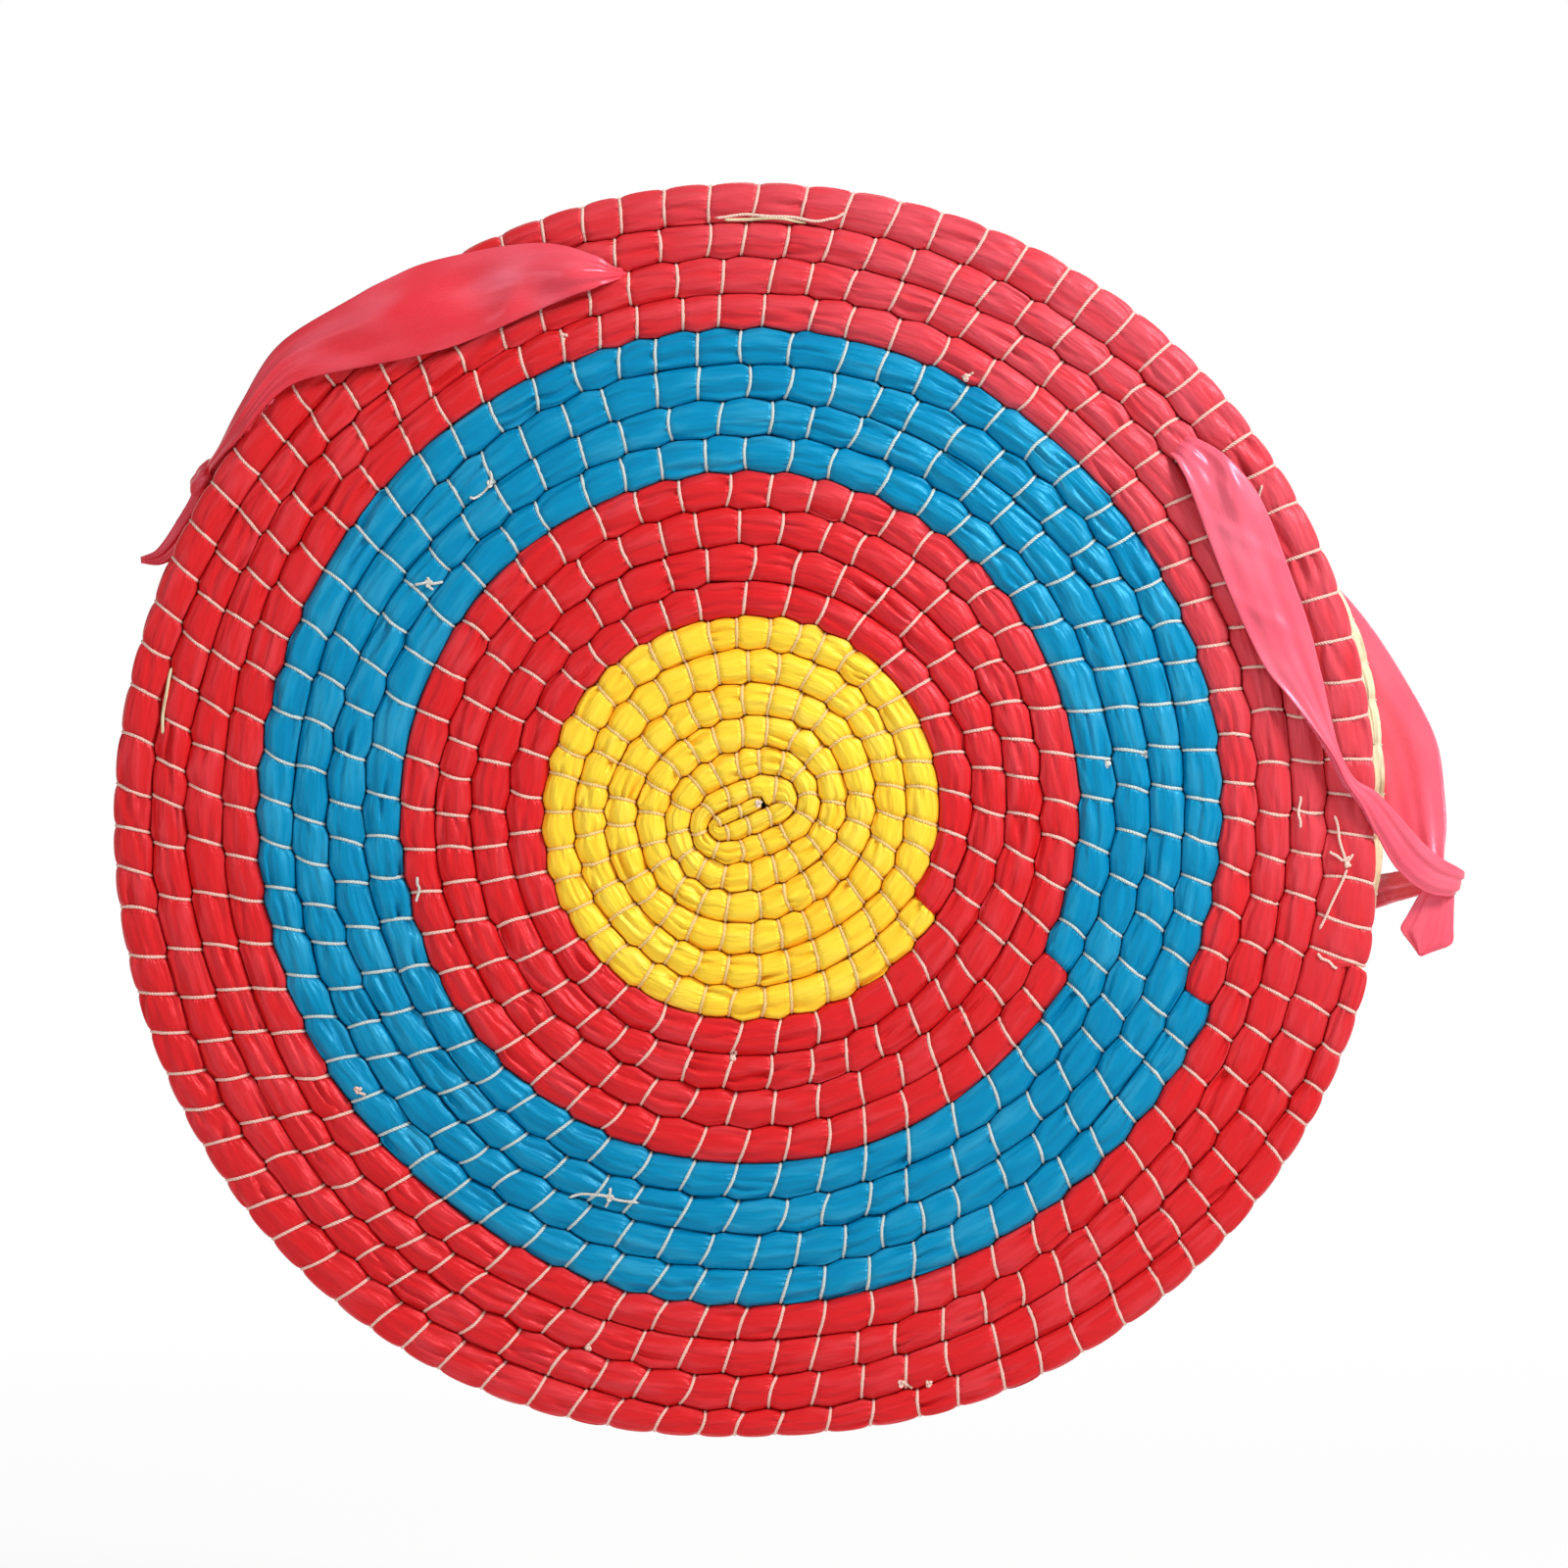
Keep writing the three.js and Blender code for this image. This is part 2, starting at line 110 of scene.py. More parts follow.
# The cells between the stitches
BULGE_POWER = 2.5
BULGE = 0.5 * MM  # how far a cell swells between its stitches
LUMP = 0.35 * MM  # how much more one side of a cell may swell than the other
FULLNESS = (0.6, 1.3)  # how full single cells are, in bulges
SCALLOP = 0.72 * MM  # how far a full cell pushes the groove beside it
PUSH_FULL_TURN, LEAST_PUSH = 2, 0.3  # where the push is full, and its share at the start
FREE_SIDE = 0.5  # the fullness that stands in for a turn outside the outermost one
WANDER = 0.4 * MM  # slow unevenness of the rope's width
WANDER_WAVES = ((17.3, 0, 1), (29.9, 1, 1), (53.1, 2, 0.7))  # radians in a turn, start and size
RIM_FULLNESS = 0.6 * MM  # how much fuller the outermost turn is on its free side
END_SWELL_REACH = 0.024  # in turns

# The folds in a cell's cloth. Places across the rope are -1 to 1 on its crown
FOLDS_PER_CELL = 6
FOLD_PLACE = (-1.1, 1.1)
FOLD_SLOPE = 0.22  # spread of how far a fold drifts across the rope in a cell
FOLD_SPREAD = (0.12, 0.26)
FOLD_LIPS = (-1.4, 1.4)  # the lip is on one side or the other
FOLD_DENT = 0.6
FOLD_REACH = (0.4, 1.3)  # in shares of the cell's length
FOLD_FADE = 0.6  # power of a fold's dying away
FOLD_START = 0.8 * MM  # how soon beside its stitch a fold deepens
CREASED = (0.3, 1.3)  # how creased single cells are
SMALL_FOLDS = 1.5  # power that makes most folds small


def section_point(angle):
    """Across and forward of the rope's middle, in shares of its half sizes, at an angle round its
    section: a square with round corners. Last is how far round it the point is from the crown."""
    sine, cosine = np.abs(np.sin(angle)), np.abs(np.cos(angle))
    inset = 1 - CORNER_ROUND
    reach = inset * (sine + cosine)
    rounded = reach + np.sqrt(np.maximum(reach**2 - 2 * inset**2 + CORNER_ROUND**2, 0))
    at_corner = np.minimum(sine, cosine) > inset * np.maximum(sine, cosine)
    radius = np.where(at_corner, rounded, 1 / np.maximum(sine, cosine))
    across, forward = radius * np.sin(angle), radius * np.cos(angle)
    return across, forward, across + np.sign(across) * (1 - forward)


def cell_fullness(share):
    """How full a cell is at a share of its length: 0 at its stitches, 1 half way."""
    return 1 - np.abs(2 * share - 1) ** BULGE_POWER


def jitter(rng, count):
    """Random numbers about 0, with the rare large ones cut."""
    return np.clip(rng.standard_normal(count), -MOST_JITTER, MOST_JITTER)


class Coil:
    """A rope wound as a spiral from an oval eye, with places along it counted in turns."""

    def __init__(self, runs, swells, **sizes):
        # Each run's node, turns, pitch in rope widths, and first and last cell length
        self.runs = runs
        # Each swell's turn, spread in turns and size in rope widths
        self.swells = swells
        self.__dict__.update(sizes)
        self.turns = sum(run[1] for run in runs)
        self.start_turn = START_STEPS / self.steps
        eased = self.eased_turns(self.turns)
        full = sum(run[1] * run[2] for run in runs)
        left = self.reach - self.start_width - self.start_pitch * eased
        self.width = left / (full - runs[0][2] * eased)
        count = int(self.turns * SAMPLES_PER_TURN)
        self.turn_samples = np.linspace(self.start_turn, self.turns, count)
        middle = sum(self.edges(self.groove_radius, self.turn_samples)) / 2
        steps = np.linalg.norm(np.diff(middle, axis=0), axis=1)
        self.length_samples = np.concatenate([[0], np.cumsum(steps)])

    def eased_turns(self, turn):
        """How many turns' worth of its first, narrow pitch a turn of rope has inside it."""
        return self.ease_turns * (1 - np.exp(-turn / self.ease_turns))

    def groove_radius(self, turn):
        """How far out the groove along the outer side of a turn lies, before the sewing."""
        radius = self.start_width
        radius = radius - (self.runs[0][2] * self.width - self.start_pitch) * self.eased_turns(turn)
        wound = 0
        for _, turns, pitch_share, _ in self.runs:
            radius = radius + pitch_share * self.width * np.clip(turn - wound, 0, turns)
            wound += turns
        for at, spread, share in self.swells:
            radius = radius + share * self.width * np.exp(-(((turn - at) / spread) ** 2))
        started = np.clip(turn / self.start_turn * OPENING_RATE - (OPENING_RATE - 1), 0, 1)
        return radius * started * started * (3 - 2 * started)

    def groove_point(self, radius, turn):
        """x and z of a groove, whose rings are ovals near the eye."""
        tilt = math.radians(self.tilt_degrees)
        angle = tilt + FULL_TURN * turn
        shift = np.exp(-radius / EYE_SHIFT_FADE)
        stretch = self.eye_half_length * np.exp(-radius / self.eye_fade) + self.outer_oval
        along = stretch * np.tanh(EYE_SHARPNESS * np.cos(angle - tilt))
        x = self.centre[0] + self.eye[0] * shift + radius * np.cos(angle) + along * math.cos(tilt)
        z = self.centre[1] + self.eye[1] * shift + radius * np.sin(angle) + along * math.sin(tilt)
        return np.stack([x, z], axis=-1)

    def edges(self, radius_at, turn):
        """The inner and the outer groove beside the rope, with a function for a groove's radius."""
        return [self.groove_point(radius_at(groove), turn) for groove in (turn - 1, turn)]

    def length_at(self, turn):
        return np.interp(turn, self.turn_samples, self.length_samples)

    def turn_at(self, length):
        return np.interp(length, self.length_samples, self.turn_samples)

    def sew(self, rng):
        """Settles where each stitch lies along the rope, and what each cell between two is like."""
        marks, stitched = [0.0], [False]
        wound = 0
        self.run_cells = []
        for _, turns, _, (first, last) in self.runs:
            wound += turns
            end = float(self.length_at(wound))
            count = max(1, round((end - marks[-1]) / ((first + last) / 2)))
            sizes = np.linspace(first, last, count)
            sizes = sizes * (1 + STITCH_JITTER * jitter(rng, count))
            places = marks[-1] + np.cumsum(sizes) * (end - marks[-1]) / sizes.sum()
            self.run_cells.append((len(marks) - 1, len(marks) - 1 + count))
            marks.extend(places)
            stitched.extend([True] * (count - 1) + [False])
        self.marks = np.array(marks)
        beside_end = float(self.length_at(self.turns - 1)) + END_STITCH_AFTER
        self.marks[np.argmin(np.abs(self.marks - beside_end))] = beside_end
        self.stitched = np.array(stitched)
        turn = self.turn_at(self.marks)
        sway = LEAN_SWAY * np.sin(FULL_TURN * (turn * SWAY_RATE + SWAY_START))
        lean = LEAN * np.clip(turn / LEAN_FULL_TURN, LEAST_LEAN, 1)
        lean = lean + sway * np.clip(turn / SWAY_FULL_TURN, LEAST_LEAN, 1)
        self.leans = lean + LEAN_JITTER * jitter(rng, len(marks))
        self.bows = BOW_JITTER * jitter(rng, len(marks))
        cells = len(marks) - 1
        folds = (cells, FOLDS_PER_CELL)
        self.tone = rng.random(cells)
        self.fullness = rng.uniform(*FULLNESS, cells)
        self.lump_side = rng.uniform(-1, 1, cells)
        self.fold_place = rng.uniform(*FOLD_PLACE, folds)
        self.fold_slope = rng.normal(0, FOLD_SLOPE, folds)
        self.fold_spread = rng.uniform(*FOLD_SPREAD, folds)
        self.fold_lip = rng.choice(FOLD_LIPS, folds)
        creased = rng.uniform(*CREASED, (cells, 1))
        self.fold_size = creased * rng.uniform(0, 1, folds) ** SMALL_FOLDS
        self.fold_reach = rng.uniform(*FOLD_REACH, folds)
        self.fold_end = rng.integers(0, 2, folds)

    def cell_length(self, cell):
        return self.marks[cell + 1] - self.marks[cell]

    def lean_at(self, length):
        return np.interp(length, self.marks, self.leans)

    def near_stitch(self, cell, share):
        """How far a share along a cell is from the nearer of its two stitches."""
        return np.minimum(share, 1 - share) * self.cell_length(cell)

    def bulge_at(self, length):
        """How full the rope's cell is at a length along it, as cell_fullness says."""
        last = len(self.marks) - 2
        cell = np.clip(np.searchsorted(self.marks, length, side="right") - 1, 0, last)
        share = (length - self.marks[cell]) / self.cell_length(cell)
        return cell_fullness(np.clip(share, 0, 1))

    def sewn_groove(self, turn):
        """The groove's radius, pushed out by the cell inside it and in by the cell outside it."""
        inside, outside = self.length_at(turn), self.length_at(turn + 1)
        push = self.bulge_at(inside + self.lean_at(inside) / 2)
        pushed_back = self.bulge_at(outside - self.lean_at(outside) / 2)
        push = push - np.where(turn + 1 > self.turns, FREE_SIDE, pushed_back)
        wander = sum(size * np.sin(rate * turn + start) for rate, start, size in WANDER_WAVES)
        strength = np.clip(turn / PUSH_FULL_TURN, LEAST_PUSH, 1) * (turn > self.start_turn)
        past_end = turn + 1 - self.turns
        swollen = self.end_swell * np.exp(-((past_end / END_SWELL_REACH) ** 2))
        rim = np.where(past_end > 0, RIM_FULLNESS + swollen, 0)
        return self.groove_radius(turn) + rim + strength * (SCALLOP * push + WANDER / 2 * wander)

    def surface(self, cell, share, angle, sizes, lift=0.0):
        """Points of the sewn rope's skin, by the share along a cell and the angle round the
        section, with the turn that each lies at."""
        level = self.marks[cell] + self.cell_length(cell) * share
        across, forward, around = section_point(angle)
        bow = np.interp(level, self.marks, self.bows) * (1 - across * across)
        turn = self.turn_at(level - self.lean_at(level) * across / 2 + bow)
        inner, outer = self.edges(self.sewn_groove, turn)
        half = np.linalg.norm(outer - inner, axis=-1) / 2
        near = self.near_stitch(cell, share)
        dip = SHARP_DIP[0] * np.exp(-((near / SHARP_DIP[1]) ** 2))
        dip = sizes.stitch_dip * (dip + SOFT_DIP[0] * np.exp(-near / SOFT_DIP[1]))
        dip = dip * (1 + SIDE_DIP * np.sin(angle) ** 2)
        dip = dip * np.clip(half / FULL_DIP_WIDTH, LEAST_DIP, 1)
        bulge = cell_fullness(share)
        skin = self.folds(cell, share, around, near) * sizes.fold_depth - dip + lift
        skin = skin + (bulge - 0.5) * self.fullness[cell] * BULGE
        skin = skin + self.lump_side[cell] * np.sin(angle) * bulge * LUMP
        notch = CORNER_NOTCH * np.exp(-((near / CORNER_REACH) ** 2))
        notch = notch + np.clip(-DENT_NOTCH * skin, 0, 1)
        gap = SIDE_GAP + np.clip(forward, 0, 1) * notch
        side = 1 - gap / np.maximum(half, LEAST_HALF_WIDTH)
        flat = (inner + outer) / 2 + (outer - inner) / 2 * (side * across)[..., None]
        forward = forward * (1 - CROWN_DROP * across * across)
        y = self.middle_y + self.crown_side * (self.depth / 2 + skin) * forward
        return np.stack([flat[..., 0], y, flat[..., 1]], axis=-1), turn

    def folds(self, cell, share, around, near):
        """The lengthwise folds of a cell's cloth: each a dent with a lip along one side, which
        starts at a stitch and dies away. around is the place across the rope."""
        total = np.zeros_like(share)
        for i in range(FOLDS_PER_CELL):
            middle = self.fold_place[cell, i] + self.fold_slope[cell, i] * (share - 0.5)
            off = (around - middle) / self.fold_spread[cell, i]
            from_end = np.where(self.fold_end[cell, i] > 0, 1 - share, share)
            fade = np.clip(1 - from_end / self.fold_reach[cell, i], 0, 1) ** FOLD_FADE
            dent = (self.fold_lip[cell, i] * off - FOLD_DENT) * np.exp(-off * off)
            total += self.fold_size[cell, i] * dent * fade
        return total * (1 - np.exp(-near / FOLD_START))


# steps is how many straight steps a turn of the solid has. cell_steps says where a cell of rope has
# its rings, as shares of its length, and crown_points how many points each ring has on its crown.
# The rope starts with start_width and start_pitch, which ease_turns says how soon to leave, and
# end_swell is how far the turn beside its tucked end swells out.
FACE = Coil(
    runs=[
        ("yellow_rope", 6.853, 0.957, (9.5 * MM, 12.8 * MM)),
        ("inner_red_rope", 4.008, 1.036, (16.2 * MM, 17 * MM)),
        ("blue_rope", 4.011, 1.011, (17.5 * MM, 18 * MM)),
        ("outer_red_rope", 4.023, 1, (18 * MM, 17 * MM)),
    ],
    swells=[(18, 0.16, 0.36), (18.56, 0.1, 0.17), (18.69, 0.05, -0.36), (18.95, 0.06, -0.43)],
    reach=RIM_RADIUS,
    depth=ROPE_DEPTH,
    steps=24,
    cell_steps=(0, 0.05, 0.13, 0.26, 0.42, 0.58, 0.74, 0.87, 0.95),
    crown_points=15,
    centre=(0, 0),
    eye=(0.5 * MM, -2.7 * MM),
    tilt_degrees=23,
    eye_half_length=12 * MM,
    eye_fade=35 * MM,
    outer_oval=1.5 * MM,
    end_swell=6.4 * MM,
    start_width=4 * MM,
    start_pitch=3 * MM,
    ease_turns=1,
    middle_y=-ROPE_DEPTH * 1.5 - LAYER_GAP,
    crown_side=-1,
)
BACK = Coil(
    runs=[("straw_back_coil", 14.256, 1, (17 * MM, 19 * MM))],
    swells=[(14.27, 0.02, -0.45)],
    reach=RIM_RADIUS - BACK_INSET,
    depth=ROPE_DEPTH,
    steps=16,
    cell_steps=(0, 0.07, 0.24, 0.5, 0.76, 0.93),
    crown_points=11,
    centre=(4.5 * MM, 0),
    eye=(0, 0),
    tilt_degrees=-70,
    eye_half_length=14 * MM,
    eye_fade=40 * MM,
    outer_oval=0,
    end_swell=3 * MM,
    start_width=6 * MM,
    start_pitch=8 * MM,
    ease_turns=1,
    middle_y=-ROPE_DEPTH / 2,
    crown_side=1,
)
FACE.sew(np.random.default_rng(SEED))
BACK.sew(np.random.default_rng(SEED + 1))


# Sizes and colours that a user would change


def colour_property(name, description, default):
    return FloatVectorProperty(
        name=name, description=description, default=default, subtype="COLOR", size=3, min=0, max=1
    )


def number_property(name, description, default, kind, unit, least=0):
    return FloatProperty(
        name=name, description=description, default=default, subtype=kind, unit=unit, min=least
    )


def length_property(name, description, default):
    return number_property(name, description, default, "DISTANCE", "LENGTH")


class BOSS_PG_ropes(bpy.types.PropertyGroup):
    """The wound ropes and the cloth round them."""

    stitch_dip: length_property("Stitch dip", "How far a stitch pulls the cloth in", 1.6 * MM)
    fold_depth: length_property("Fold depth", "Depth of the folds in the cloth", 2.3 * MM)
    # Each shine colour is painted highlight along the cloth's creases, and also lifts lighter worn
    # patches and cells; each shade colour is painted shade in the grooves and creases, and also
    # darkens darker patches and cells
    yellow: colour_property("Yellow", "Cloth of the middle", (1.0, 0.7, 0.045))
    yellow_shade: colour_property("Yellow shade", "Yellow down in the grooves", (1.0, 0.42, 0.01))
    yellow_shine: colour_property("Yellow shine", "Yellow where it is stretched", (1.0, 0.8, 0.2))
    red: colour_property("Red", "Cloth of both red rings", (0.64, 0.018, 0.021))
    red_shade: colour_property("Red shade", "Red down in the grooves", (0.74, 0.008, 0.01))
    red_shine: colour_property("Red shine", "Red where it is stretched", (0.95, 0.16, 0.2))
    # Painted glare: red painted lighter and paler towards the upper right, where the key light
    # falls
    red_painted_glare: colour_property("Red bleached", "Red turned to the light", (0.64, 0.1, 0.135))
    blue: colour_property("Blue", "Cloth of the blue ring", (0.001, 0.235, 0.45))
    blue_shade: colour_property("Blue shade", "Blue down in the grooves", (0.0, 0.14, 0.33))
    blue_shine: colour_property("Blue shine", "Blue where it is stretched", (0.12, 0.58, 0.8))
    straw: colour_property("Straw", "Bare straw of the back", (0.94, 0.8, 0.5))
    straw_shade: colour_property("Straw shade", "Straw down in the grooves", (0.3, 0.21, 0.08))


class BOSS_PG_twine(bpy.types.PropertyGroup):
    """The twine that sews the turns together."""

    diameter: length_property("Diameter", "Thickness of the twine", 1.5 * MM)
    cream: colour_property("Cream", "Colour of the twine", (0.97, 0.74, 0.61))
    on_yellow: colour_property("On yellow", "Colour of the twine over yellow", (1.0, 0.66, 0.16))
    on_red: colour_property("On red", "Colour of the twine over red", (1.0, 0.6, 0.5))
    on_blue: colour_property("On blue", "Colour of the twine over blue", (0.62, 0.75, 0.73))
    grey: colour_property("Grey", "Colour of the twine on the back", (0.6, 0.56, 0.42))


class BOSS_PG_ribbons(bpy.types.PropertyGroup):
    """The satin ribbons."""

    colour: colour_property("Colour", "Colour of the satin", (0.68, 0.02, 0.03))
    # Painted glare: satin painted lighter and paler towards the upper right, where the key light
    # falls
    painted_glare: colour_property("Bleached", "Satin turned to the light", (0.9, 0.125, 0.19))
    # pale is painted highlight along the satin's creases, the colour of its woven edges, and the
    # tint of its specular highlights
    pale: colour_property("Pale", "Colour of the satin where it thins", (1.0, 0.42, 0.55))


class BOSS_PG_stage(bpy.types.PropertyGroup):
    """The floor, the lights and the camera."""

    key_power: number_property("Key light", "Power of the main light", 21, "POWER", "POWER")
    fill_power: number_property("Fill light", "Power of the fill light", 15, "POWER", "POWER")
    back_power: number_property("Back light", "Power of the back light", 16, "POWER", "POWER")
    lens: number_property("Lens", "Focal length", 200, "DISTANCE_CAMERA", "CAMERA", least=1)
    floor: colour_property("Floor", "Colour of the floor", (0.97, 0.97, 0.97))


# Meshes

MERGE_DISTANCE = 0.002 * MM


def read_values(items, field, width, kind=np.float32):
    """A field of all a mesh's vertices or corners as rows of numbers."""
    values = np.empty(len(items) * width, kind)
    items.foreach_get(field, values)
    return values.reshape(-1, width)


def bent_grid(name, columns, rows, place):
    """A grid mesh with its vertices where place(column, row) says. place also gives each vertex's
    UV in metres and a dictionary of further values to keep with it."""
    grid = bmesh.new()
    grid.loops.layers.uv.new("UVMap")
    bmesh.ops.create_grid(grid, x_segments=columns, y_segments=rows, size=1, calc_uvs=True)
    mesh = bpy.data.meshes.new(name)
    grid.to_mesh(mesh)
    grid.free()
    flat = read_values(mesh.vertices, "co", 3)
    column = np.rint((flat[:, 0] + 1) / 2 * columns).astype(int)
    row = np.rint((flat[:, 1] + 1) / 2 * rows).astype(int)
    points, uv, values = place(column, row)
    mesh.vertices.foreach_set("co", points.astype(np.float32).ravel())
    corners = read_values(mesh.loops, "vertex_index", 1, np.int32)[:, 0]
    mesh.uv_layers["UVMap"].data.foreach_set("uv", uv[corners].astype(np.float32).ravel())
    for key, numbers in values.items():
        attribute = mesh.attributes.new(key, "FLOAT", "POINT")
        attribute.data.foreach_set("value", numbers.astype(np.float32))
    return mesh


def close_up(mesh, unwanted=()):
    """Drops the unwanted faces, joins edges that meet, closes open ends and faces it outwards."""
    shell = bmesh.new()
    shell.from_mesh(mesh)
    shell.faces.ensure_lookup_table()
    if len(unwanted):
        bmesh.ops.delete(shell, geom=[shell.faces[i] for i in unwanted], context="FACES_ONLY")
    bmesh.ops.remove_doubles(shell, verts=shell.verts, dist=MERGE_DISTANCE)
    open_edges = [edge for edge in shell.edges if edge.is_boundary]
    bmesh.ops.holes_fill(shell, edges=open_edges, sides=0)
    bmesh.ops.recalc_face_normals(shell, faces=shell.faces)
    for face in shell.faces:
        face.smooth = True
    shell.to_mesh(mesh)
    shell.free()
    return mesh


def add_piece(mesh, material, body, replaces=()):
    """Shows a mesh as a piece of its own name, on a body, instead of the nodes that it replaces."""
    piece = bpy.data.objects.new(mesh.name, mesh)
    bpy.context.scene.collection.objects.link(piece)
    mesh.materials.append(material)
    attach(piece, body)
    if replaces:
        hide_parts(*replaces)
    return piece


def joined_mesh(name, parts):
    """One mesh of several."""
    whole = bmesh.new()
    for part in parts:
        whole.from_mesh(part)
    mesh = bpy.data.meshes.new(name)
    whole.to_mesh(mesh)
    whole.free()
    return mesh


def tube_batch(name, paths, side_ways, radius, sides, **each):
    """Many short tubes in one mesh, each along one row of paths and narrowed to a point at both
    ends. side_ways holds a vector for each tube that isn't along its path, and each any further
    values to keep with the tubes."""
    count, points = paths.shape[:2]
    tangent = np.gradient(paths, axis=1)
    tangent /= np.linalg.norm(tangent, axis=-1, keepdims=True)
    side = np.broadcast_to(side_ways[:, None, :], paths.shape)
    side = side - (side * tangent).sum(-1, keepdims=True) * tangent
    side /= np.linalg.norm(side, axis=-1, keepdims=True)
    up = np.cross(tangent, side)
    steps = np.linalg.norm(np.diff(paths, axis=1), axis=-1)
    along = np.concatenate([np.zeros((count, 1)), np.cumsum(steps, axis=1)], axis=1)
    thick = np.full(points, radius)
    thick[[0, -1]] = 0

    def place(column, row):
        tube, point = column // points, column % points
        turned = (FULL_TURN * (row % sides) / sides)[:, None]
        out = side[tube, point] * np.cos(turned) + up[tube, point] * np.sin(turned)
        uv = np.stack([along[tube, point], FULL_TURN * radius * row / sides], axis=1)
        values = {key: numbers[tube] for key, numbers in each.items()}
        return paths[tube, point] + out * thick[point][:, None], uv, values

    columns = count * points - 1
    mesh = bent_grid(name, columns, sides, place)
    links = np.arange(points - 1, columns, points)
    unwanted = (np.arange(sides)[:, None] * columns + links).ravel()
    return close_up(mesh, unwanted)


def section_angles(crown_points):
    """The angles round the rope's section at which its skin has points, and the first one again."""
    edge = 1 - CORNER_ROUND
    crown = np.degrees(np.arctan(np.linspace(-edge, edge, crown_points)))
    corner = np.array(CORNER_ANGLES)
    closing = [360 - corner[-1]]
    return np.radians(np.concatenate([-corner[::-1], crown, corner, HIDDEN_ANGLES, closing]))


def rope_mesh(name, coil, run, sizes):
    """One run of a coil's rope as a closed skin, with its cells, dips and folds."""
    first, end = coil.run_cells[run]
    shares = np.tile(coil.cell_steps, end - first)
    cells = np.repeat(np.arange(first, end), len(coil.cell_steps))
    cells, shares = np.append(cells, end - 1), np.append(shares, 1.0)
    angles = section_angles(coil.crown_points)
    lengths = coil.marks[cells] + coil.cell_length(cells) * shares

    def place(column, row):
        cell, share, angle = cells[column], shares[column], angles[row]
        wrapped = np.where(angle > math.pi, angle - FULL_TURN, angle)
        points, turn = coil.surface(cell, share, wrapped, sizes)
        on_rim = (turn + 1 > coil.turns) & (wrapped > 0)
        depth = np.where(on_rim, 1, np.abs(points[:, 1] - coil.middle_y) / (coil.depth / 2))
        pull = np.exp(-coil.near_stitch(cell, share) / PULL_REACH)
        *_, around = section_point(angle)
        uv = np.stack([lengths[column], around * coil.width / 2], axis=1)
        return points, uv, {"tone": coil.tone[cell], "depth": depth, "pull": pull}

    return close_up(bent_grid(name, len(lengths) - 1, len(angles) - 1, place))


def stitch_mesh(name, coil, sizes, radius):
    """The twine that crosses the rope's crown at each stitch, from one groove to the next, and
    round the rim on the outermost turn. It keeps which ring of colour it lies on."""
    stitches = np.nonzero(coil.stitched)[0]
    last_turn = coil.turn_at(coil.marks[stitches]) + 1 > coil.turns
    angle = np.radians(np.where(last_turn[:, None], RIM_STITCH_ANGLES, STITCH_ANGLES))
    cell = np.repeat(stitches, len(STITCH_ANGLES))
    lift = radius * STITCH_PROUD
    paths, _ = coil.surface(cell, np.zeros(len(cell)), angle.ravel(), sizes, lift)
    paths = paths.reshape(len(stitches), len(STITCH_ANGLES), 3)
    sides = np.cross(paths[:, -1] - paths[:, 0], [0.0, 1.0, 0.0])
    run = np.searchsorted([end for _, end in coil.run_cells], stitches, side="right")
    tints = {"on_yellow": run == 0, "on_red": run % 2 == 1, "on_blue": run == 2}
    return tube_batch(name, paths, sides, radius, STITCH_SIDES, **tints)


# The ribbons

RIBBON_WIDTH = 36 * MM
RIBBON_THICKNESS = 0.35 * MM
RIBBON_ACROSS = 48  # steps from edge to edge
FRONT_SHARE = 0.6  # share of the steps across a ribbon that lie on its visible width
LEAST_SPARE, MOST_SPARE = 0.04, 5  # cloth folded behind on each side, in visible half widths
BEHIND_DEPTH = 2.6 * MM  # how far behind the visible cloth the folded cloth goes
BEHIND_EASE = 1.5  # in visible half widths
SATIN_CROWN = 0.1  # how much higher the middle is, in visible half widths
SATIN_WAVE = 0.14  # height of the waves where the ribbon is narrowest, in the same
SATIN_WAVES = ((2, 0.65), (4, 0.35))  # waves across the visible width, and their share
WAVE_TWIST = (8, 22)  # how fast the waves shift along the ribbon, in radians a metre
RIBBON_STEP = 1.6 * MM
LEAST_RIBBON_STEPS = 6
LEAST_RIBBON_HALF = 0.4 * MM

KNOT_COLUMNS, KNOT_ROWS = 40, 26
# The knot's pleats: size, how many round it and along it, and the power that ends them at its tips
PLEATS = ((0.09, 3, 4, 0), (0.07, 7, -5, 1), (0.05, 0, 9, 0))


def strip(rows):
    """Where a strip runs, the way across it and half its visible width, from rows in millimetres:
    x, z, depth, half the width, then a turn in degrees about its own line. A row where it runs
    straight back ends with the way across, in degrees from +X."""
    places = np.array([(row[0], row[2], row[1]) for row in rows], float) * MM
    sides = np.cross(np.gradient(places, axis=0), [0.0, 1.0, 0.0])
    sides /= np.linalg.norm(sides, axis=1, keepdims=True)
    for i, row in enumerate(rows):
        if len(row) > 5:
            across = math.radians(row[5])
            sides[i] = (math.cos(across), 0, math.sin(across))
        if len(row) > 4:
            turned = math.radians(row[4])
            sides[i] = sides[i] * math.cos(turned) + np.array([0, math.sin(turned), 0])
    return places, sides, np.array([row[3] for row in rows]) * MM


def smooth_through(values, where):
    """Values at fractional row numbers, on a smooth curve through all the rows."""
    last = len(values) - 1
    row = np.clip(where.astype(int), 0, last - 1)
    part = (where - row).reshape((-1,) + (1,) * (values.ndim - 1))
    slopes = np.gradient(values, axis=0)
    first, second = values[row], values[row + 1]
    square, cube = part * part, part * part * part
    return (
        (2 * cube - 3 * square + 1) * first
        + (cube - 2 * square + part) * slopes[row]
        + (3 * square - 2 * cube) * second
        + (cube - square) * slopes[row + 1]
    )


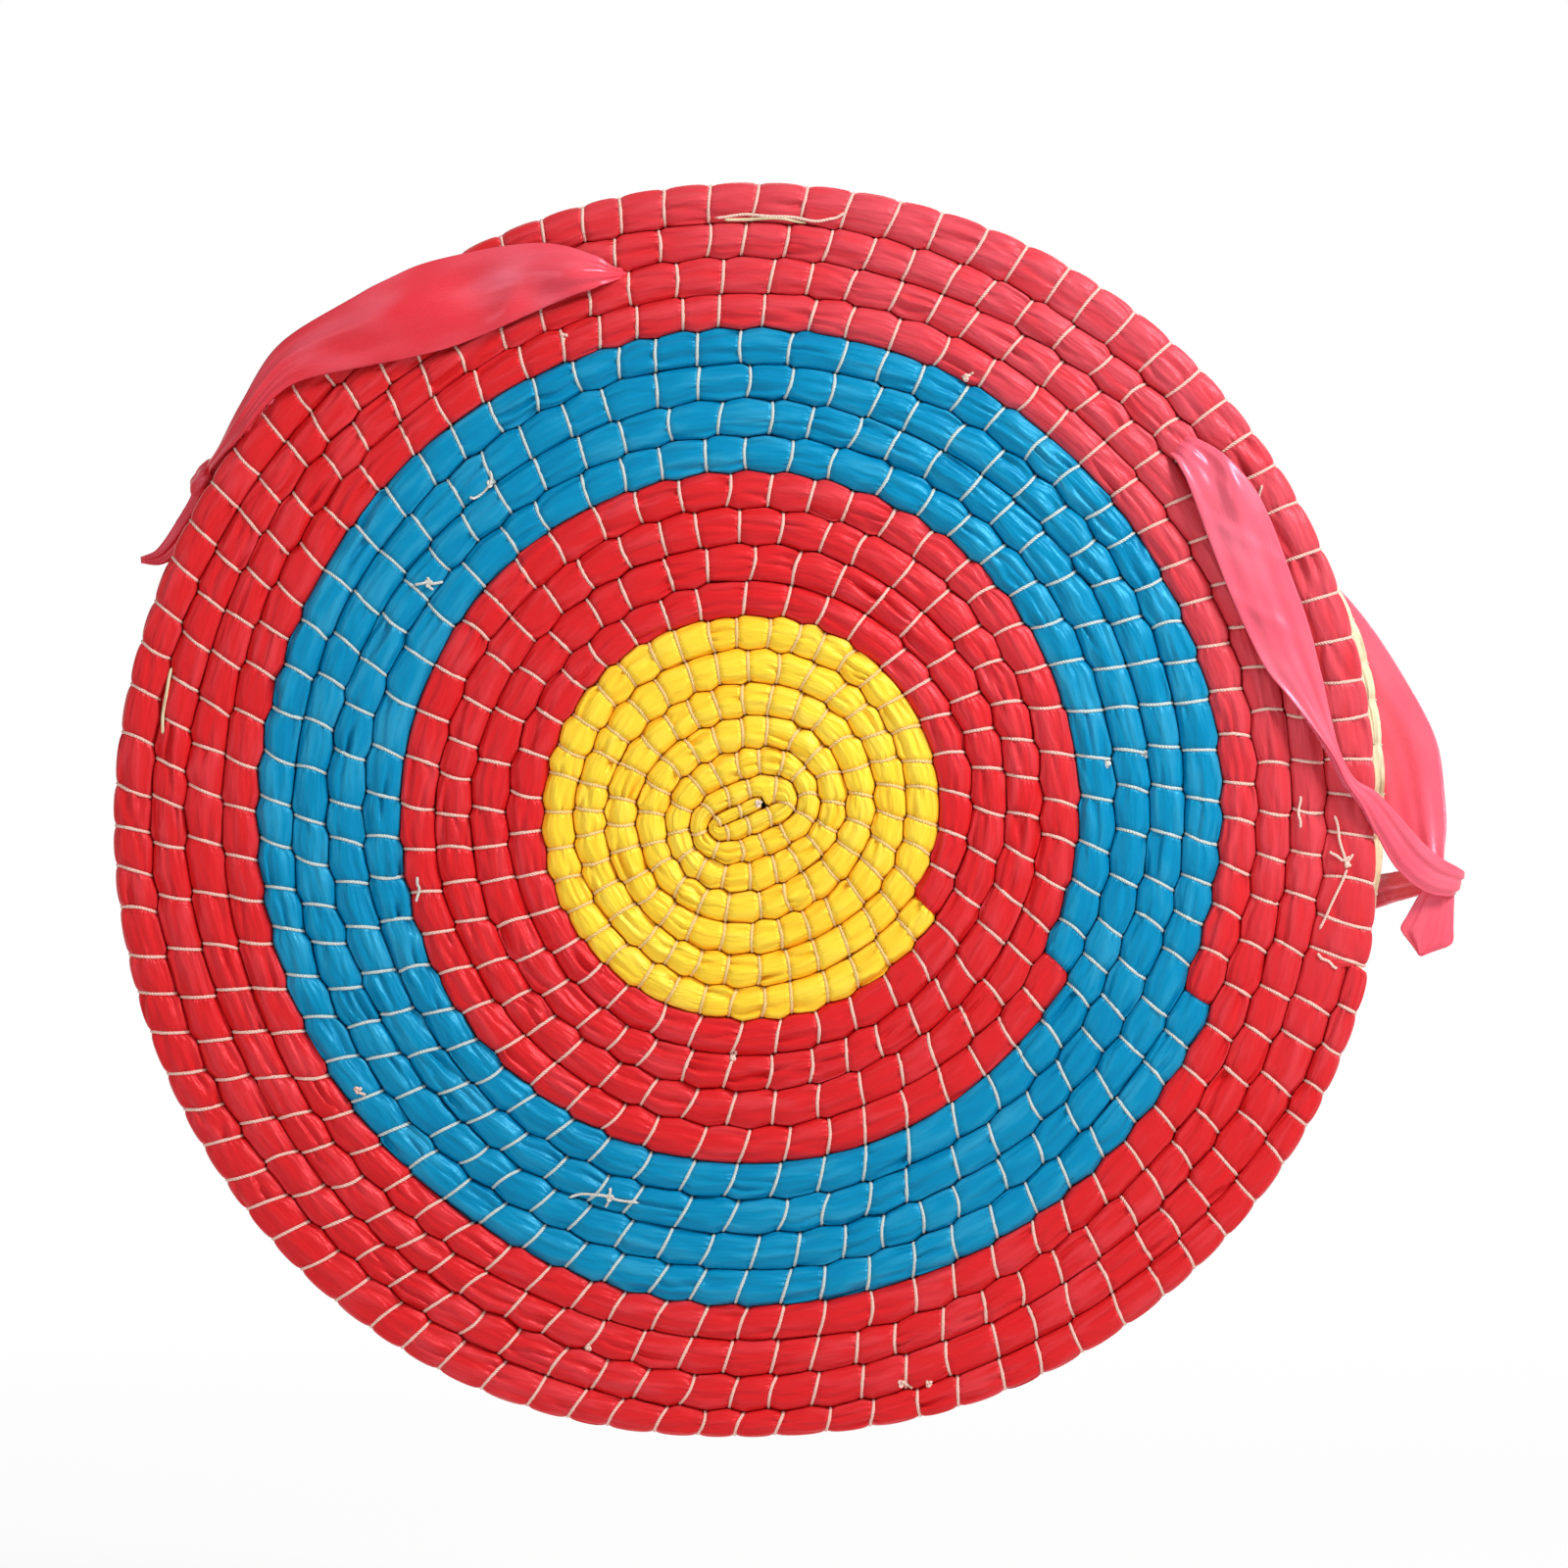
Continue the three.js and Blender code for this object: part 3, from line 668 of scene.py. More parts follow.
def ribbon_mesh(name, places, sides, halves, rng, swells=()):
    """A thin strip of satin through the places given. Where it is drawn narrower than its cut, its
    sides are folded over behind it. Each of swells holds, in millimetres, x and z, the way of its
    long axis in degrees, half its length and width, and how far the satin swells forward there."""
    steps = np.linalg.norm(np.diff(places, axis=0), axis=1)
    lengths = np.concatenate([[0], np.cumsum(steps)])
    columns = max(LEAST_RIBBON_STEPS, round(lengths[-1] / RIBBON_STEP))
    along = np.linspace(0, lengths[-1], columns + 1)
    where = np.interp(along, lengths, np.arange(len(lengths)))
    centre = smooth_through(places, where)
    side = smooth_through(sides, where)
    half = np.maximum(smooth_through(halves, where), LEAST_RIBBON_HALF)[:, None]
    ahead = np.gradient(centre, axis=0)
    side -= ahead * ((side * ahead).sum(1) / (ahead * ahead).sum(1))[:, None]
    side /= np.linalg.norm(side, axis=1, keepdims=True)
    up = np.cross(ahead, side)
    up /= np.linalg.norm(up, axis=1, keepdims=True)
    share = np.linspace(-1, 1, RIBBON_ACROSS + 1)
    front = np.clip(np.abs(share) / FRONT_SHARE, 0, 1)
    folded = np.clip((np.abs(share) - FRONT_SHARE) / (1 - FRONT_SHARE), 0, 1)
    spare = np.clip(RIBBON_WIDTH / 2 / half - 1, LEAST_SPARE, MOST_SPARE)
    widths = front + spare * folded  # place on the cloth, from its middle, in visible half widths
    across = np.sign(share) * 2 / math.pi * np.arcsin(np.sin(math.pi / 2 * widths))
    rise = -BEHIND_DEPTH * (1 - np.exp(-np.maximum(widths - 1, 0) / BEHIND_EASE))
    narrow = 1 - np.minimum(2 * half / RIBBON_WIDTH, 1)
    phases = rng.uniform(0, FULL_TURN, 2)[:, None] + along * rng.uniform(*WAVE_TWIST, (2, 1))
    wave = 0
    for (count, share_of_it), phase in zip(SATIN_WAVES, phases):
        wave = wave + share_of_it * np.sin(math.pi * count * across + phase[:, None])
    rise = rise + half * (SATIN_WAVE * narrow * wave + SATIN_CROWN * (1 - across**2))
    middle = centre[:, None, :] + side[:, None, :] * (half * across)[..., None]
    for x, z, degrees, long, wide, forward in swells:
        c, s = math.cos(math.radians(degrees)), math.sin(math.radians(degrees))
        off_x, off_z = middle[..., 0] / MM - x, middle[..., 2] / MM - z
        off = ((off_x * c + off_z * s) / long) ** 2 + ((off_z * c - off_x * s) / wide) ** 2
        rise = rise + forward * MM * np.exp(-off)
    middle = middle + up[:, None, :] * rise[..., None]
    normal = np.cross(np.gradient(middle, axis=0), np.gradient(middle, axis=1))
    normal /= np.linalg.norm(normal, axis=-1, keepdims=True)
    around = 2 * (RIBBON_ACROSS + 1)

    def place(column, row):
        row = row % around
        over = row <= RIBBON_ACROSS
        point = np.where(over, row, around - 1 - row)
        offset = np.where(over, 1, -1)[:, None] * normal[column, point] * RIBBON_THICKNESS / 2
        from_middle = np.sign(share[point]) * (widths * half)[column, point]
        uv = np.stack([along[column], from_middle], axis=1)
        return middle[column, point] + offset, uv, {"edge": np.abs(share[point])}

    return close_up(bent_grid(name, columns, around, place))


def knot_mesh(name, loop, rng):
    """The wraps of the knot: a small pleated ball."""
    starts = rng.uniform(0, FULL_TURN, len(PLEATS))

    def place(column, row):
        round_it = FULL_TURN * (column % KNOT_COLUMNS) / KNOT_COLUMNS
        down = math.pi * row / KNOT_ROWS
        pleat = 0
        for (size, across, along, power), start in zip(PLEATS, starts):
            ripple = np.sin(across * round_it + along * down + start)
            pleat = pleat + size * ripple * np.sin(down) ** power
        length, thick, depth = (size * MM for size in loop["knot_size"])
        shape = 1 + pleat * np.sin(down)
        x = length * np.cos(down)
        z = thick * np.sin(down) * np.cos(round_it) * shape
        y = depth * np.sin(down) * np.sin(round_it) * shape
        turned = math.radians(loop["knot_turn"])
        c, s = math.cos(turned), math.sin(turned)
        points = np.stack([x * c - z * s, y, x * s + z * c], axis=1)
        uv = np.stack([round_it * thick, down * length], axis=1)
        return points + np.array(loop["knot_place"]) * MM, uv, {"edge": np.zeros(len(x))}

    return close_up(bent_grid(name, KNOT_COLUMNS, KNOT_ROWS, place))


# Each ribbon goes through a slot between two turns and over the rim, where it is tied. The rows of
# its parts are for strip(). A knot's place is x, depth and z, its size is half its length,
# thickness and depth, and it is turned in degrees. A back leg's smooth side faces forwards at 1,
# where it is seen past the rim, and backwards at -1.
LEFT_LOOP = {
    "flat_length": 460 * MM,
    "back_smooth": -1,
    "face": [
        (-46.1, 213.9, -37, 2),
        (-51.9, 212.6, -43.5, 2.4),
        (-56.5, 212.5, -47, 4.4),
        (-62.6, 212.9, -48, 7.4),
        (-83.3, 211.6, -48.4, 13.4),
        (-118.8, 201.2, -47.8, 17.4),
        (-137.7, 194.8, -47.8, 16.4),
        (-155.7, 188.2, -48, 13.8),
        (-173.2, 181.5, -47.8, 10.9, -8),
        (-182.6, 176.4, -47.2, 9, -14),
        (-190, 169.6, -46.8, 6.9, -20),
        (-197.5, 159.9, -46.2, 5.2, -26),
        (-203.3, 151.5, -43.5, 4.4, -32),
        (-210.7, 141.8, -36, 2.8, -50),
        (-215, 136.6, -30, 2.4, -60),
        (-216.5, 134, -26, 2.2, -60),
    ],
    "back": [
        (-46.1, 213.9, -8, 2.4),
        (-51.9, 213.1, -1, 3.2),
        (-58.5, 209.8, 2.2, 7),
        (-76.7, 200.8, 2.4, 12),
        (-118.1, 180.4, 2.2, 16),
        (-159.5, 160, 2.3, 14),
        (-191, 144.6, 2.3, 8.4),
        (-210.4, 138.1, -1, 5, 10),
        (-216.8, 134.3, -10, 3.2, 30),
        (-217.5, 131.5, -20, 2.4, 30),
    ],
    "tails": [
        [
            (-217.5, 131, -24, 3),
            (-220, 121, -25.5, 4.4),
            (-225, 112, -26, 4.6),
            (-231, 104, -25.5, 4),
            (-236, 100, -25, 3.2),
            (-243, 99, -24.5, 1.2),
        ],
    ],
    "swells": [
        (-70, 211, 0, 12, 7, 5),
        (-107, 206, 15, 14, 8, -4.5),
        (-95, 199, 50, 9, 5, 2.5),
        (-146, 194, 25, 22, 9, 3),
    ],
    "knot_place": (-217.5, -23, 131.5),
    "knot_size": (9, 4.6, 5.5),
    "knot_turn": 62,
}
RIGHT_LOOP = {
    "flat_length": 510 * MM,
    "back_smooth": 1,
    "face": [
        (168.5, 146.8, -37, 5),
        (172, 144, -43.6, 5.4),
        (175.6, 141.4, -47, 6.6),
        (182.8, 133.8, -48.4, 9.7),
        (190.5, 121.5, -48.6, 12.4),
        (196.2, 108.9, -48, 13.2),
        (203.5, 89.7, -47.8, 13),
        (210.2, 73.2, -47.8, 12.4),
        (215.7, 59.4, -48, 11, 4),
        (221.8, 47.2, -48.4, 7.9, 10),
        (228.3, 33.5, -48.8, 4.9, 30),
        (234.5, 20.5, -49, 2.8, 55),
        (239.9, 10.4, -48.6, 3, 50),
        (247.5, 2.9, -47, 4.9, 30),
        (255, -7.2, -43, 6.1, 10),
        (264, -19.2, -37, 7.5),
        (273.4, -26.8, -33, 7.6, -4),
        (282, -29.7, -29.5, 6.2, 0, 70),
        (285, -30, -25, 4.8, 0, 68),
        (283.5, -29.5, -20, 4.2, 0, 66),
        (278, -28.5, -17, 3.4, 0, 66),
    ],
    "back": [
        (165.2, 143.7, -8, 2.8),
        (168.4, 138.7, -1, 3.6),
        (174.6, 130.9, 2.2, 8),
        (188.7, 116.3, 2.4, 12),
        (220.9, 82.7, 2.2, 16),
        (237.2, 64.8, 2, 16, -4),
        (252.4, 41.3, 0.4, 16, -9),
        (262.6, 22, -3, 15.5, -14),
        (266.6, 3, -9, 14, -14),
        (269, -12, -15, 12, -14),
        (271.5, -22, -20, 8, -14),
        (274, -30, -22, 4, -14),
    ],
    "tails": [
        [
            (277, -27, -24, 4),
            (276.5, -33, -25, 6.2),
            (274.8, -39, -25.5, 8),
            (273, -45.5, -25.5, 9.8),
            (271.4, -51.5, -25.2, 11),
            (270.2, -55.6, -25, 5.6),
            (269.1, -59.3, -25, 0.5),
        ],
        [
            (273, -28.5, -24, 4),
            (266, -30.5, -17, 5.5),
            (260, -32, -8, 6),
            (255.5, -33.3, 0.5, 6.4),
            (250, -35, 4, 6.6),
            (243, -37, 4.5, 6.8),
        ],
    ],
    "swells": [
        (193, 126, -62, 14, 5.5, 5),
        (185, 133, -66, 10, 4, -3.5),
        (197, 107, -32, 18, 2.6, 0.9),
        (204, 77, -33, 18, 2.6, 0.9),
    ],
    "knot_place": (275.8, -23, -28.5),
    "knot_size": (7, 5.5, 5),
    "knot_turn": -20,
}


# Loose ends: threads, straws and knots that lie on the face, with x and z in millimetres

THREADS = (
    ((-102.6, 134.5), (-102.6, 128.9), (-107.3, 124), (-111.2, 123.2)),
    ((-132.4, 89.1), (-127.1, 89.3), (-121.4, 89.7)),
    ((-127.1, 92), (-127.1, 89.3), (-125.6, 86.2)),
    ((-71.4, -155.2), (-63.6, -153.7), (-55, -155.2), (-43.3, -157.6)),
    ((-55, -151.3), (-55, -155.2), (-56.6, -159.1)),
    ((-155.2, -112.3), (-152.5, -114.7)),
    ((61.2, -229.3), (65.9, -230.9)),
    ((-5.9, -99.8), (-4.3, -96.7)),
    ((86.6, 171.2), (89.7, 173.2)),
    ((-131.8, -27.7), (-131, -32), (-131.8, -37.4)),
    ((204.4, 128.3), (203.6, 121.7), (205.9, 114.7)),
    ((220, 4.7), (219.4, -2), (220, -8.2)),
    ((233.6, -2.7), (235.6, -12.1), (237.9, -21.5), (240.8, -18.7)),
    ((231.7, -17.2), (236, -20.6), (239.5, -19.8)),
    ((238.7, -24.2), (233.2, -36.7), (227.4, -48.8)),
    ((226.6, -58.1), (230.6, -61.2), (234.8, -64)),
    ((-13.7, 234.8), (-1.2, 236), (14.4, 235.2), (28.1, 233.6), (34.7, 234.8), (38.6, 236.6)),
)
STRAWS = (
    ((-229.3, 56.2), (-232.1, 42.5), (-233.2, 28.9)),
    ((-10, 233.8), (8, 234.6), (24, 233.2)),
)
KNOTS = (
    (-102.6, 128.9),
    (-127.1, 89.3),
    (-55, -155.2),
    (-155.2, -112.3),
    (61.2, -229.3),
    (72.2, -229.3),
    (-5.9, -99.8),
    (158, 21.1),
    (86.6, 171.2),
    (-73.3, 187.6),
    (143.1, 17.2),
    (-63.6, -214.9),
    (238.7, -22.5),
    (4.3, 1.6),
)
YELLOW_RADIUS = 98 * MM
BLUE_RING = (132 * MM, 190 * MM)  # its inner and outer radius
LOOSE_TINT = 0.65  # how much of the tint of stitches a loose thread takes from the cloth under it
THREAD_POINTS = 25
THREAD_LIFT = 0.25 * MM
THREAD_WAVER = 0.25 * MM  # along the face
THREAD_SWAY = 0.2 * MM  # off the face
WAVER_RATE, SWAY_OFF_RATE = 5, 3.7  # of both, in radians from one given place to the next
CROWN_SPAN = 5  # points of a thread that lie as high as the highest of them
THREAD_THICKNESS, STRAW_THICKNESS = 0.8, 0.9  # in shares of the twine's
LOOSE_SIDE = (0.1, 1.0, 0.2)  # a way that no loose end runs along
IN_FRONT = -1.0  # a place on the y axis that is before everything
KNOT_SIZE = 0.42 * MM  # a third of how far out it reaches
KNOT_HEIGHT = 1.4  # in knot sizes
KNOT_ENDS = (0.2, FULL_TURN - 0.1)  # where round the knot its twine starts and ends


def front_at(places):
    """How far forward the face is at places given as x and z, in metres."""
    bpy.context.view_layer.update()
    graph = bpy.context.evaluated_depsgraph_get()
    front = []
    for x, z in places:
        found, spot, *_ = bpy.context.scene.ray_cast(graph, (x, IN_FRONT, z), (0, 1, 0))
        front.append(spot.y if found else -THICKNESS)
    return np.array(front)


def thread_paths(lines, rng):
    """Each line smoothed and laid on what is under it, from crown to crown, with a slight waver."""
    paths = []
    for line in lines:
        points = np.array(line, float) * MM
        where = np.linspace(0, len(points) - 1, THREAD_POINTS)
        waver = THREAD_WAVER * np.sin(where * WAVER_RATE + rng.uniform(0, FULL_TURN))
        flat = smooth_through(points, where) + waver[:, None]
        reach = np.pad(front_at(flat), CROWN_SPAN // 2, mode="edge")
        crowns = np.min([reach[i : i + THREAD_POINTS] for i in range(CROWN_SPAN)], axis=0)
        evened = np.full(CROWN_SPAN, 1 / CROWN_SPAN)
        crowns = np.convolve(np.pad(crowns, CROWN_SPAN // 2, mode="edge"), evened, "valid")
        sway = THREAD_SWAY * np.sin(where * SWAY_OFF_RATE + rng.uniform(0, FULL_TURN))
        paths.append(np.stack([flat[:, 0], crowns - THREAD_LIFT + sway, flat[:, 1]], axis=1))
    return np.array(paths)


def knot_paths(places, rng):
    """A small trefoil of twine at each place."""
    turn = np.linspace(*KNOT_ENDS, THREAD_POINTS)
    paths = []
    places = np.array(places) * MM
    for (x, z), front in zip(places, front_at(places)):
        start = rng.uniform(0, FULL_TURN)
        flat_x = np.sin(turn + start) + 2 * np.sin(2 * turn + start)
        flat_z = np.cos(turn + start) - 2 * np.cos(2 * turn + start)
        raised = -np.sin(3 * turn) * KNOT_HEIGHT
        centre = np.array([x, front - THREAD_LIFT, z])
        paths.append(centre + KNOT_SIZE * np.stack([flat_x, raised, flat_z], axis=1))
    return np.array(paths)


def loose_mesh(name, paths, radius, **each):
    """Loose ends as tubes."""
    sides = np.tile(LOOSE_SIDE, (len(paths), 1))
    return tube_batch(name, paths, sides, radius, STITCH_SIDES, **each)


def ring_tints(paths):
    """How much a loose thread takes from the cloth under it, by how far out its middle lies."""
    out = np.linalg.norm(paths[:, THREAD_POINTS // 2, ::2], axis=1)
    on_blue = (out > BLUE_RING[0]) & (out < BLUE_RING[1])
    on_red = (out > YELLOW_RADIUS) & ~on_blue
    return {"on_red": LOOSE_TINT * on_red, "on_blue": LOOSE_TINT * on_blue}


# Materials

# Painted glare: the cloth and the satin are painted lighter and paler towards the upper right,
# where the key light falls
PAINTED_GLARE_WAY = (0.7, 0, 0.7)  # towards the upper right
# Metres along that way where the painted glare starts and is full, and how much it is there
PAINTED_GLARE_CLOTH = (0.05, 0.26, 0.7)
PAINTED_GLARE_SATIN = (0.02, 0.24, 1.0)

# How many changes each pattern has in a metre, along a piece and across it, or in every direction
CLOTH_CREASES = (34, 190)
CLOTH_WEAVE = (900, 1700)
CLOTH_GATHERS = (60, 620)
CLOTH_WEAR = (14, 14, 14)
STRAW_STALKS = (28, 900)
STRAW_PATCHES = (60, 260)
SATIN_THREADS = (180, 2600)
SATIN_CREASES = (26, 70)
TWINE_FIBRES = (900, 5200)
PLY_SCALE = 330  # of Blender's wave pattern: a ply in about a millimetre
PLY_SLANT = math.radians(38)

# How high each pattern's relief is
CREASE_RELIEF, WEAVE_RELIEF = 2.4 * MM, 0.08 * MM
STALK_RELIEF = 1.4 * MM
SATIN_CREASE_RELIEF, SATIN_THREAD_RELIEF = 0.8 * MM, 0.05 * MM
PLY_RELIEF, FIBRE_RELIEF = 0.25 * MM, 0.1 * MM

# Each of these is how low and how high a pattern or an attribute is, and what that is turned into
CREASE_LIGHT = (0.3, 0.7, -0.12, 0.12)
WEAR_LIGHT = (0.3, 0.7, -0.05, 0.04)
CELL_LIGHT = (0.0, 1.0, -0.04, 0.04)
GATHERED_SHARE = (0.1, 0.7, 0.0, 0.5)
CLOTH_ROUGHNESS = (0.3, 0.7, 0.3, 0.42)
STALK_SHADE = (0.36, 0.52, 0.75, 0.0)
STRAW_PALENESS = (0.4, 0.65, 0.0, 0.35)
SATIN_PALENESS = (0.4, 0.8, 0.0, 0.16)
SATIN_EDGES = (0.94, 1.0, 0.0, 0.3)
SATIN_ROUGHNESS = (0.3, 0.7, 0.22, 0.32)
PLY_SHADE = (0.05, 0.5, 0.5, 0.0)
FIBRE_PALENESS = (0.35, 0.65, 0.0, 0.25)

# How far forward in its rope the shade of the grooves starts to fade, where 1 is the crown
SHADE_FLOOR = 0.35
STRAW_SHADE_FLOOR, STRAW_SHADE_TOP = 0.4, 0.93
DARK_SHARE = -2.2  # how much painted shade darker cloth takes, against the painted highlight that lighter cloth takes
SHADED_TWINE = 0.45  # how dark the gaps between the plies are

PALE_STRAW = (0.9, 0.84, 0.6)
PALE_FIBRE = (0.97, 0.88, 0.76)
TWINE_SHADE = (0.25, 0.12, 0.08)
WHITE = (1.0, 1.0, 1.0)


def opaque(colour):
    """A colour as the sockets take it. A socket stays as it is."""
    return colour if isinstance(colour, bpy.types.NodeSocket) else (*colour, 1.0)


class Shader:
    """A short way to lay out a material's nodes."""

    def __init__(self, name):
        self.material = bpy.data.materials.new(name)
        self.material.use_nodes = True
        self.tree = self.material.node_tree
        self.surface = self.tree.nodes["Principled BSDF"]

    def node(self, kind, settings=None, **inputs):
        node = self.tree.nodes.new(kind)
        for key, value in (settings or {}).items():
            setattr(node, key, value)
        self.feed_all(node, inputs)
        return node

    def feed(self, node, socket, value):
        target = node.inputs[socket]
        if isinstance(value, bpy.types.NodeSocket):
            self.tree.links.new(value, target)
        else:
            target.default_value = value

    def feed_all(self, node, inputs):
        """Feeds a node's sockets, named with _ for each space."""
        for key, value in inputs.items():
            self.feed(node, key.replace("_", " "), value)

    def finish(self, **inputs):
        """The material, once its surface is given what it lacks."""
        self.feed_all(self.surface, inputs)
        return self.material

    def on_cloth(self):
        """The place on the piece's own UV map, in metres."""
        return self.node("ShaderNodeUVMap").outputs[0]

    def in_object(self):
        return self.node("ShaderNodeTexCoord").outputs["Object"]

    def attribute(self, name):
        return self.node("ShaderNodeAttribute", {"attribute_name": name}).outputs["Fac"]

    def aslant(self, place, first, last, most):
        """0 to most, by how far along the way of the painted glare a place lies."""
        node = self.node("ShaderNodeVectorMath", {"operation": "DOT_PRODUCT"})
        self.feed(node, 0, place)
        self.feed(node, 1, PAINTED_GLARE_WAY)
        return self.spread(node.outputs["Value"], first, last, 0.0, most)

    def maths(self, operation, first, second=0.0):
        node = self.node("ShaderNodeMath", {"operation": operation})
        self.feed(node, 0, first)
        self.feed(node, 1, second)
        return node.outputs[0]

    def spread(self, value, low, high, to_low, to_high):
        """to_low where the value is low, to_high where it is high, and eased between."""
        node = self.node("ShaderNodeMapRange", {"interpolation_type": "SMOOTHSTEP"})
        for socket, number in enumerate((value, low, high, to_low, to_high)):
            self.feed(node, socket, number)
        return node.outputs[0]

    def mix(self, share, first, second):
        node = self.node("ShaderNodeMix", {"data_type": "RGBA"})
        self.feed(node, 0, share)
        self.feed(node, 6, opaque(first))
        self.feed(node, 7, opaque(second))
        return node.outputs[2]

    def noise(self, where, per_metre, detail=2.0, roughness=0.5):
        """A cloudy pattern with so many changes in a metre, in two or in three directions."""
        place = self.node("ShaderNodeMapping", Vector=where, Scale=(*per_metre, 1)[:3])
        settings = {"Scale": 1.0, "Detail": detail, "Roughness": roughness}
        return self.node("ShaderNodeTexNoise", Vector=place.outputs[0], **settings).outputs[0]

    def bump(self, height, distance, **under):
        return self.node("ShaderNodeBump", Height=height, Distance=distance, **under).outputs[0]


def shared_look(name, make, *colours):
    """The material of this name, made when a piece first asks for it."""
    return bpy.data.materials.get(name) or make(name, *colours)


def cloth_material(name, colour, shade, shine, painted_glare, shade_top):
    """Thin shiny cloth wound round straw: creased along the rope, with painted shade in the grooves
    up to shade_top, painted highlight and shade along its creases, and painted glare towards the
    upper right."""
    s = Shader(name)
    uv, place = s.on_cloth(), s.in_object()
    creases, weave = s.noise(uv, CLOTH_CREASES), s.noise(uv, CLOTH_WEAVE)
    gathers = s.noise(uv, CLOTH_GATHERS, detail=1.0)
    wear = s.noise(place, CLOTH_WEAR, detail=3.0)
    # Painted highlight and painted shade along the creases, whose pattern also makes their bumps;
    # worn patches and the cells' own tone add lighter and darker cloth too
    light = s.spread(creases, *CREASE_LIGHT)
    light = s.maths("ADD", light, s.spread(wear, *WEAR_LIGHT))
    light = s.maths("ADD", light, s.spread(s.attribute("tone"), *CELL_LIGHT))
    # Painted glare: lighter and paler towards the upper right, where the key light falls
    coloured = s.mix(s.aslant(place, *PAINTED_GLARE_CLOTH), colour, painted_glare)
    lit = s.spread(s.attribute("depth"), SHADE_FLOOR, shade_top, 0.0, 1.0)
    coloured = s.mix(lit, shade, coloured)
    # Lighter cloth takes the shine colour as painted highlight, darker cloth the shade colour as
    # painted shade
    coloured = s.mix(s.maths("MAXIMUM", light, 0.0), coloured, shine)
    dark = s.maths("MAXIMUM", s.maths("MULTIPLY", light, DARK_SHARE), 0.0)
    coloured = s.mix(dark, coloured, shade)
    gathered = s.maths("MULTIPLY", gathers, s.spread(s.attribute("pull"), *GATHERED_SHARE))
    bumps = s.bump(s.maths("ADD", creases, gathered), CREASE_RELIEF)
    return s.finish(
        Base_Color=coloured,
        Roughness=s.spread(weave, *CLOTH_ROUGHNESS),
        Specular_IOR_Level=0.7,
        Specular_Tint=opaque(shine),
        Normal=s.bump(weave, WEAVE_RELIEF, Normal=bumps),
    )


def straw_material(name, colour, shade):
    """Bare straw: long pale stalks that lie along the rope."""
    s = Shader(name)
    uv = s.on_cloth()
    stalks = s.noise(uv, STRAW_STALKS, detail=4.0, roughness=0.6)
    patches = s.noise(uv, STRAW_PATCHES)
    lit = s.spread(s.attribute("depth"), STRAW_SHADE_FLOOR, STRAW_SHADE_TOP, 0.0, 1.0)
    coloured = s.mix(lit, shade, colour)
    coloured = s.mix(s.spread(stalks, *STALK_SHADE), coloured, shade)
    coloured = s.mix(s.spread(patches, *STRAW_PALENESS), coloured, PALE_STRAW)
    bumps = s.bump(stalks, STALK_RELIEF)
    return s.finish(Base_Color=coloured, Roughness=0.5, Specular_IOR_Level=0.4, Normal=bumps)


def satin_material(name, colour, painted_glare, pale):
    """Thin satin ribbon: smooth, with painted highlights along its folds and painted glare towards
    the upper right, and paler at its woven edges.
    """
    s = Shader(name)
    uv = s.on_cloth()
    threads, creases = s.noise(uv, SATIN_THREADS), s.noise(uv, SATIN_CREASES, detail=1.0)
    # Painted glare: lighter and paler towards the upper right, where the key light falls
    coloured = s.mix(s.aslant(s.in_object(), *PAINTED_GLARE_SATIN), colour, painted_glare)
    # Painted highlight along the satin's creases, whose pattern also makes their bumps
    coloured = s.mix(s.spread(creases, *SATIN_PALENESS), coloured, pale)
    coloured = s.mix(s.spread(s.attribute("edge"), *SATIN_EDGES), coloured, pale)
    bumps = s.bump(creases, SATIN_CREASE_RELIEF)
    return s.finish(
        Base_Color=coloured,
        Roughness=s.spread(threads, *SATIN_ROUGHNESS),
        Specular_IOR_Level=0.8,
        Specular_Tint=opaque(pale),
        Normal=s.bump(threads, SATIN_THREAD_RELIEF, Normal=bumps),
    )


def twine_material(name, colour, on_yellow, on_red, on_blue):
    """Two-ply twine, with its plies running aslant. It takes a tint from the cloth beside it."""
    s = Shader(name)
    uv = s.on_cloth()
    turned = s.node("ShaderNodeMapping", Vector=uv, Rotation=(0, 0, PLY_SLANT))
    wave = s.node("ShaderNodeTexWave", Vector=turned.outputs[0], Scale=PLY_SCALE)
    plies, fibres = wave.outputs["Fac"], s.noise(uv, TWINE_FIBRES, detail=3.0)
    coloured = colour
    for ring, tint in (("on_yellow", on_yellow), ("on_red", on_red), ("on_blue", on_blue)):
        coloured = s.mix(s.attribute(ring), coloured, tint)
    shade = s.mix(SHADED_TWINE, coloured, TWINE_SHADE)
    coloured = s.mix(s.spread(plies, *PLY_SHADE), coloured, shade)
    coloured = s.mix(s.spread(fibres, *FIBRE_PALENESS), coloured, PALE_FIBRE)
    bumps = s.bump(fibres, FIBRE_RELIEF, Normal=s.bump(plies, PLY_RELIEF))
    return s.finish(Base_Color=coloured, Roughness=0.7, Sheen_Weight=0.3, Normal=bumps)


def twine_look(twine):
    """The twine of the face, for its stitches and its loose ends."""
    tints = (twine.cream, twine.on_yellow, twine.on_red, twine.on_blue)
    return shared_look("twine_look", twine_material, *tints)


def straw_look(ropes):
    """The straw of the back, for its rope and the stray straws."""
    return shared_look("straw_look", straw_material, ropes.straw, ropes.straw_shade)


# The stage

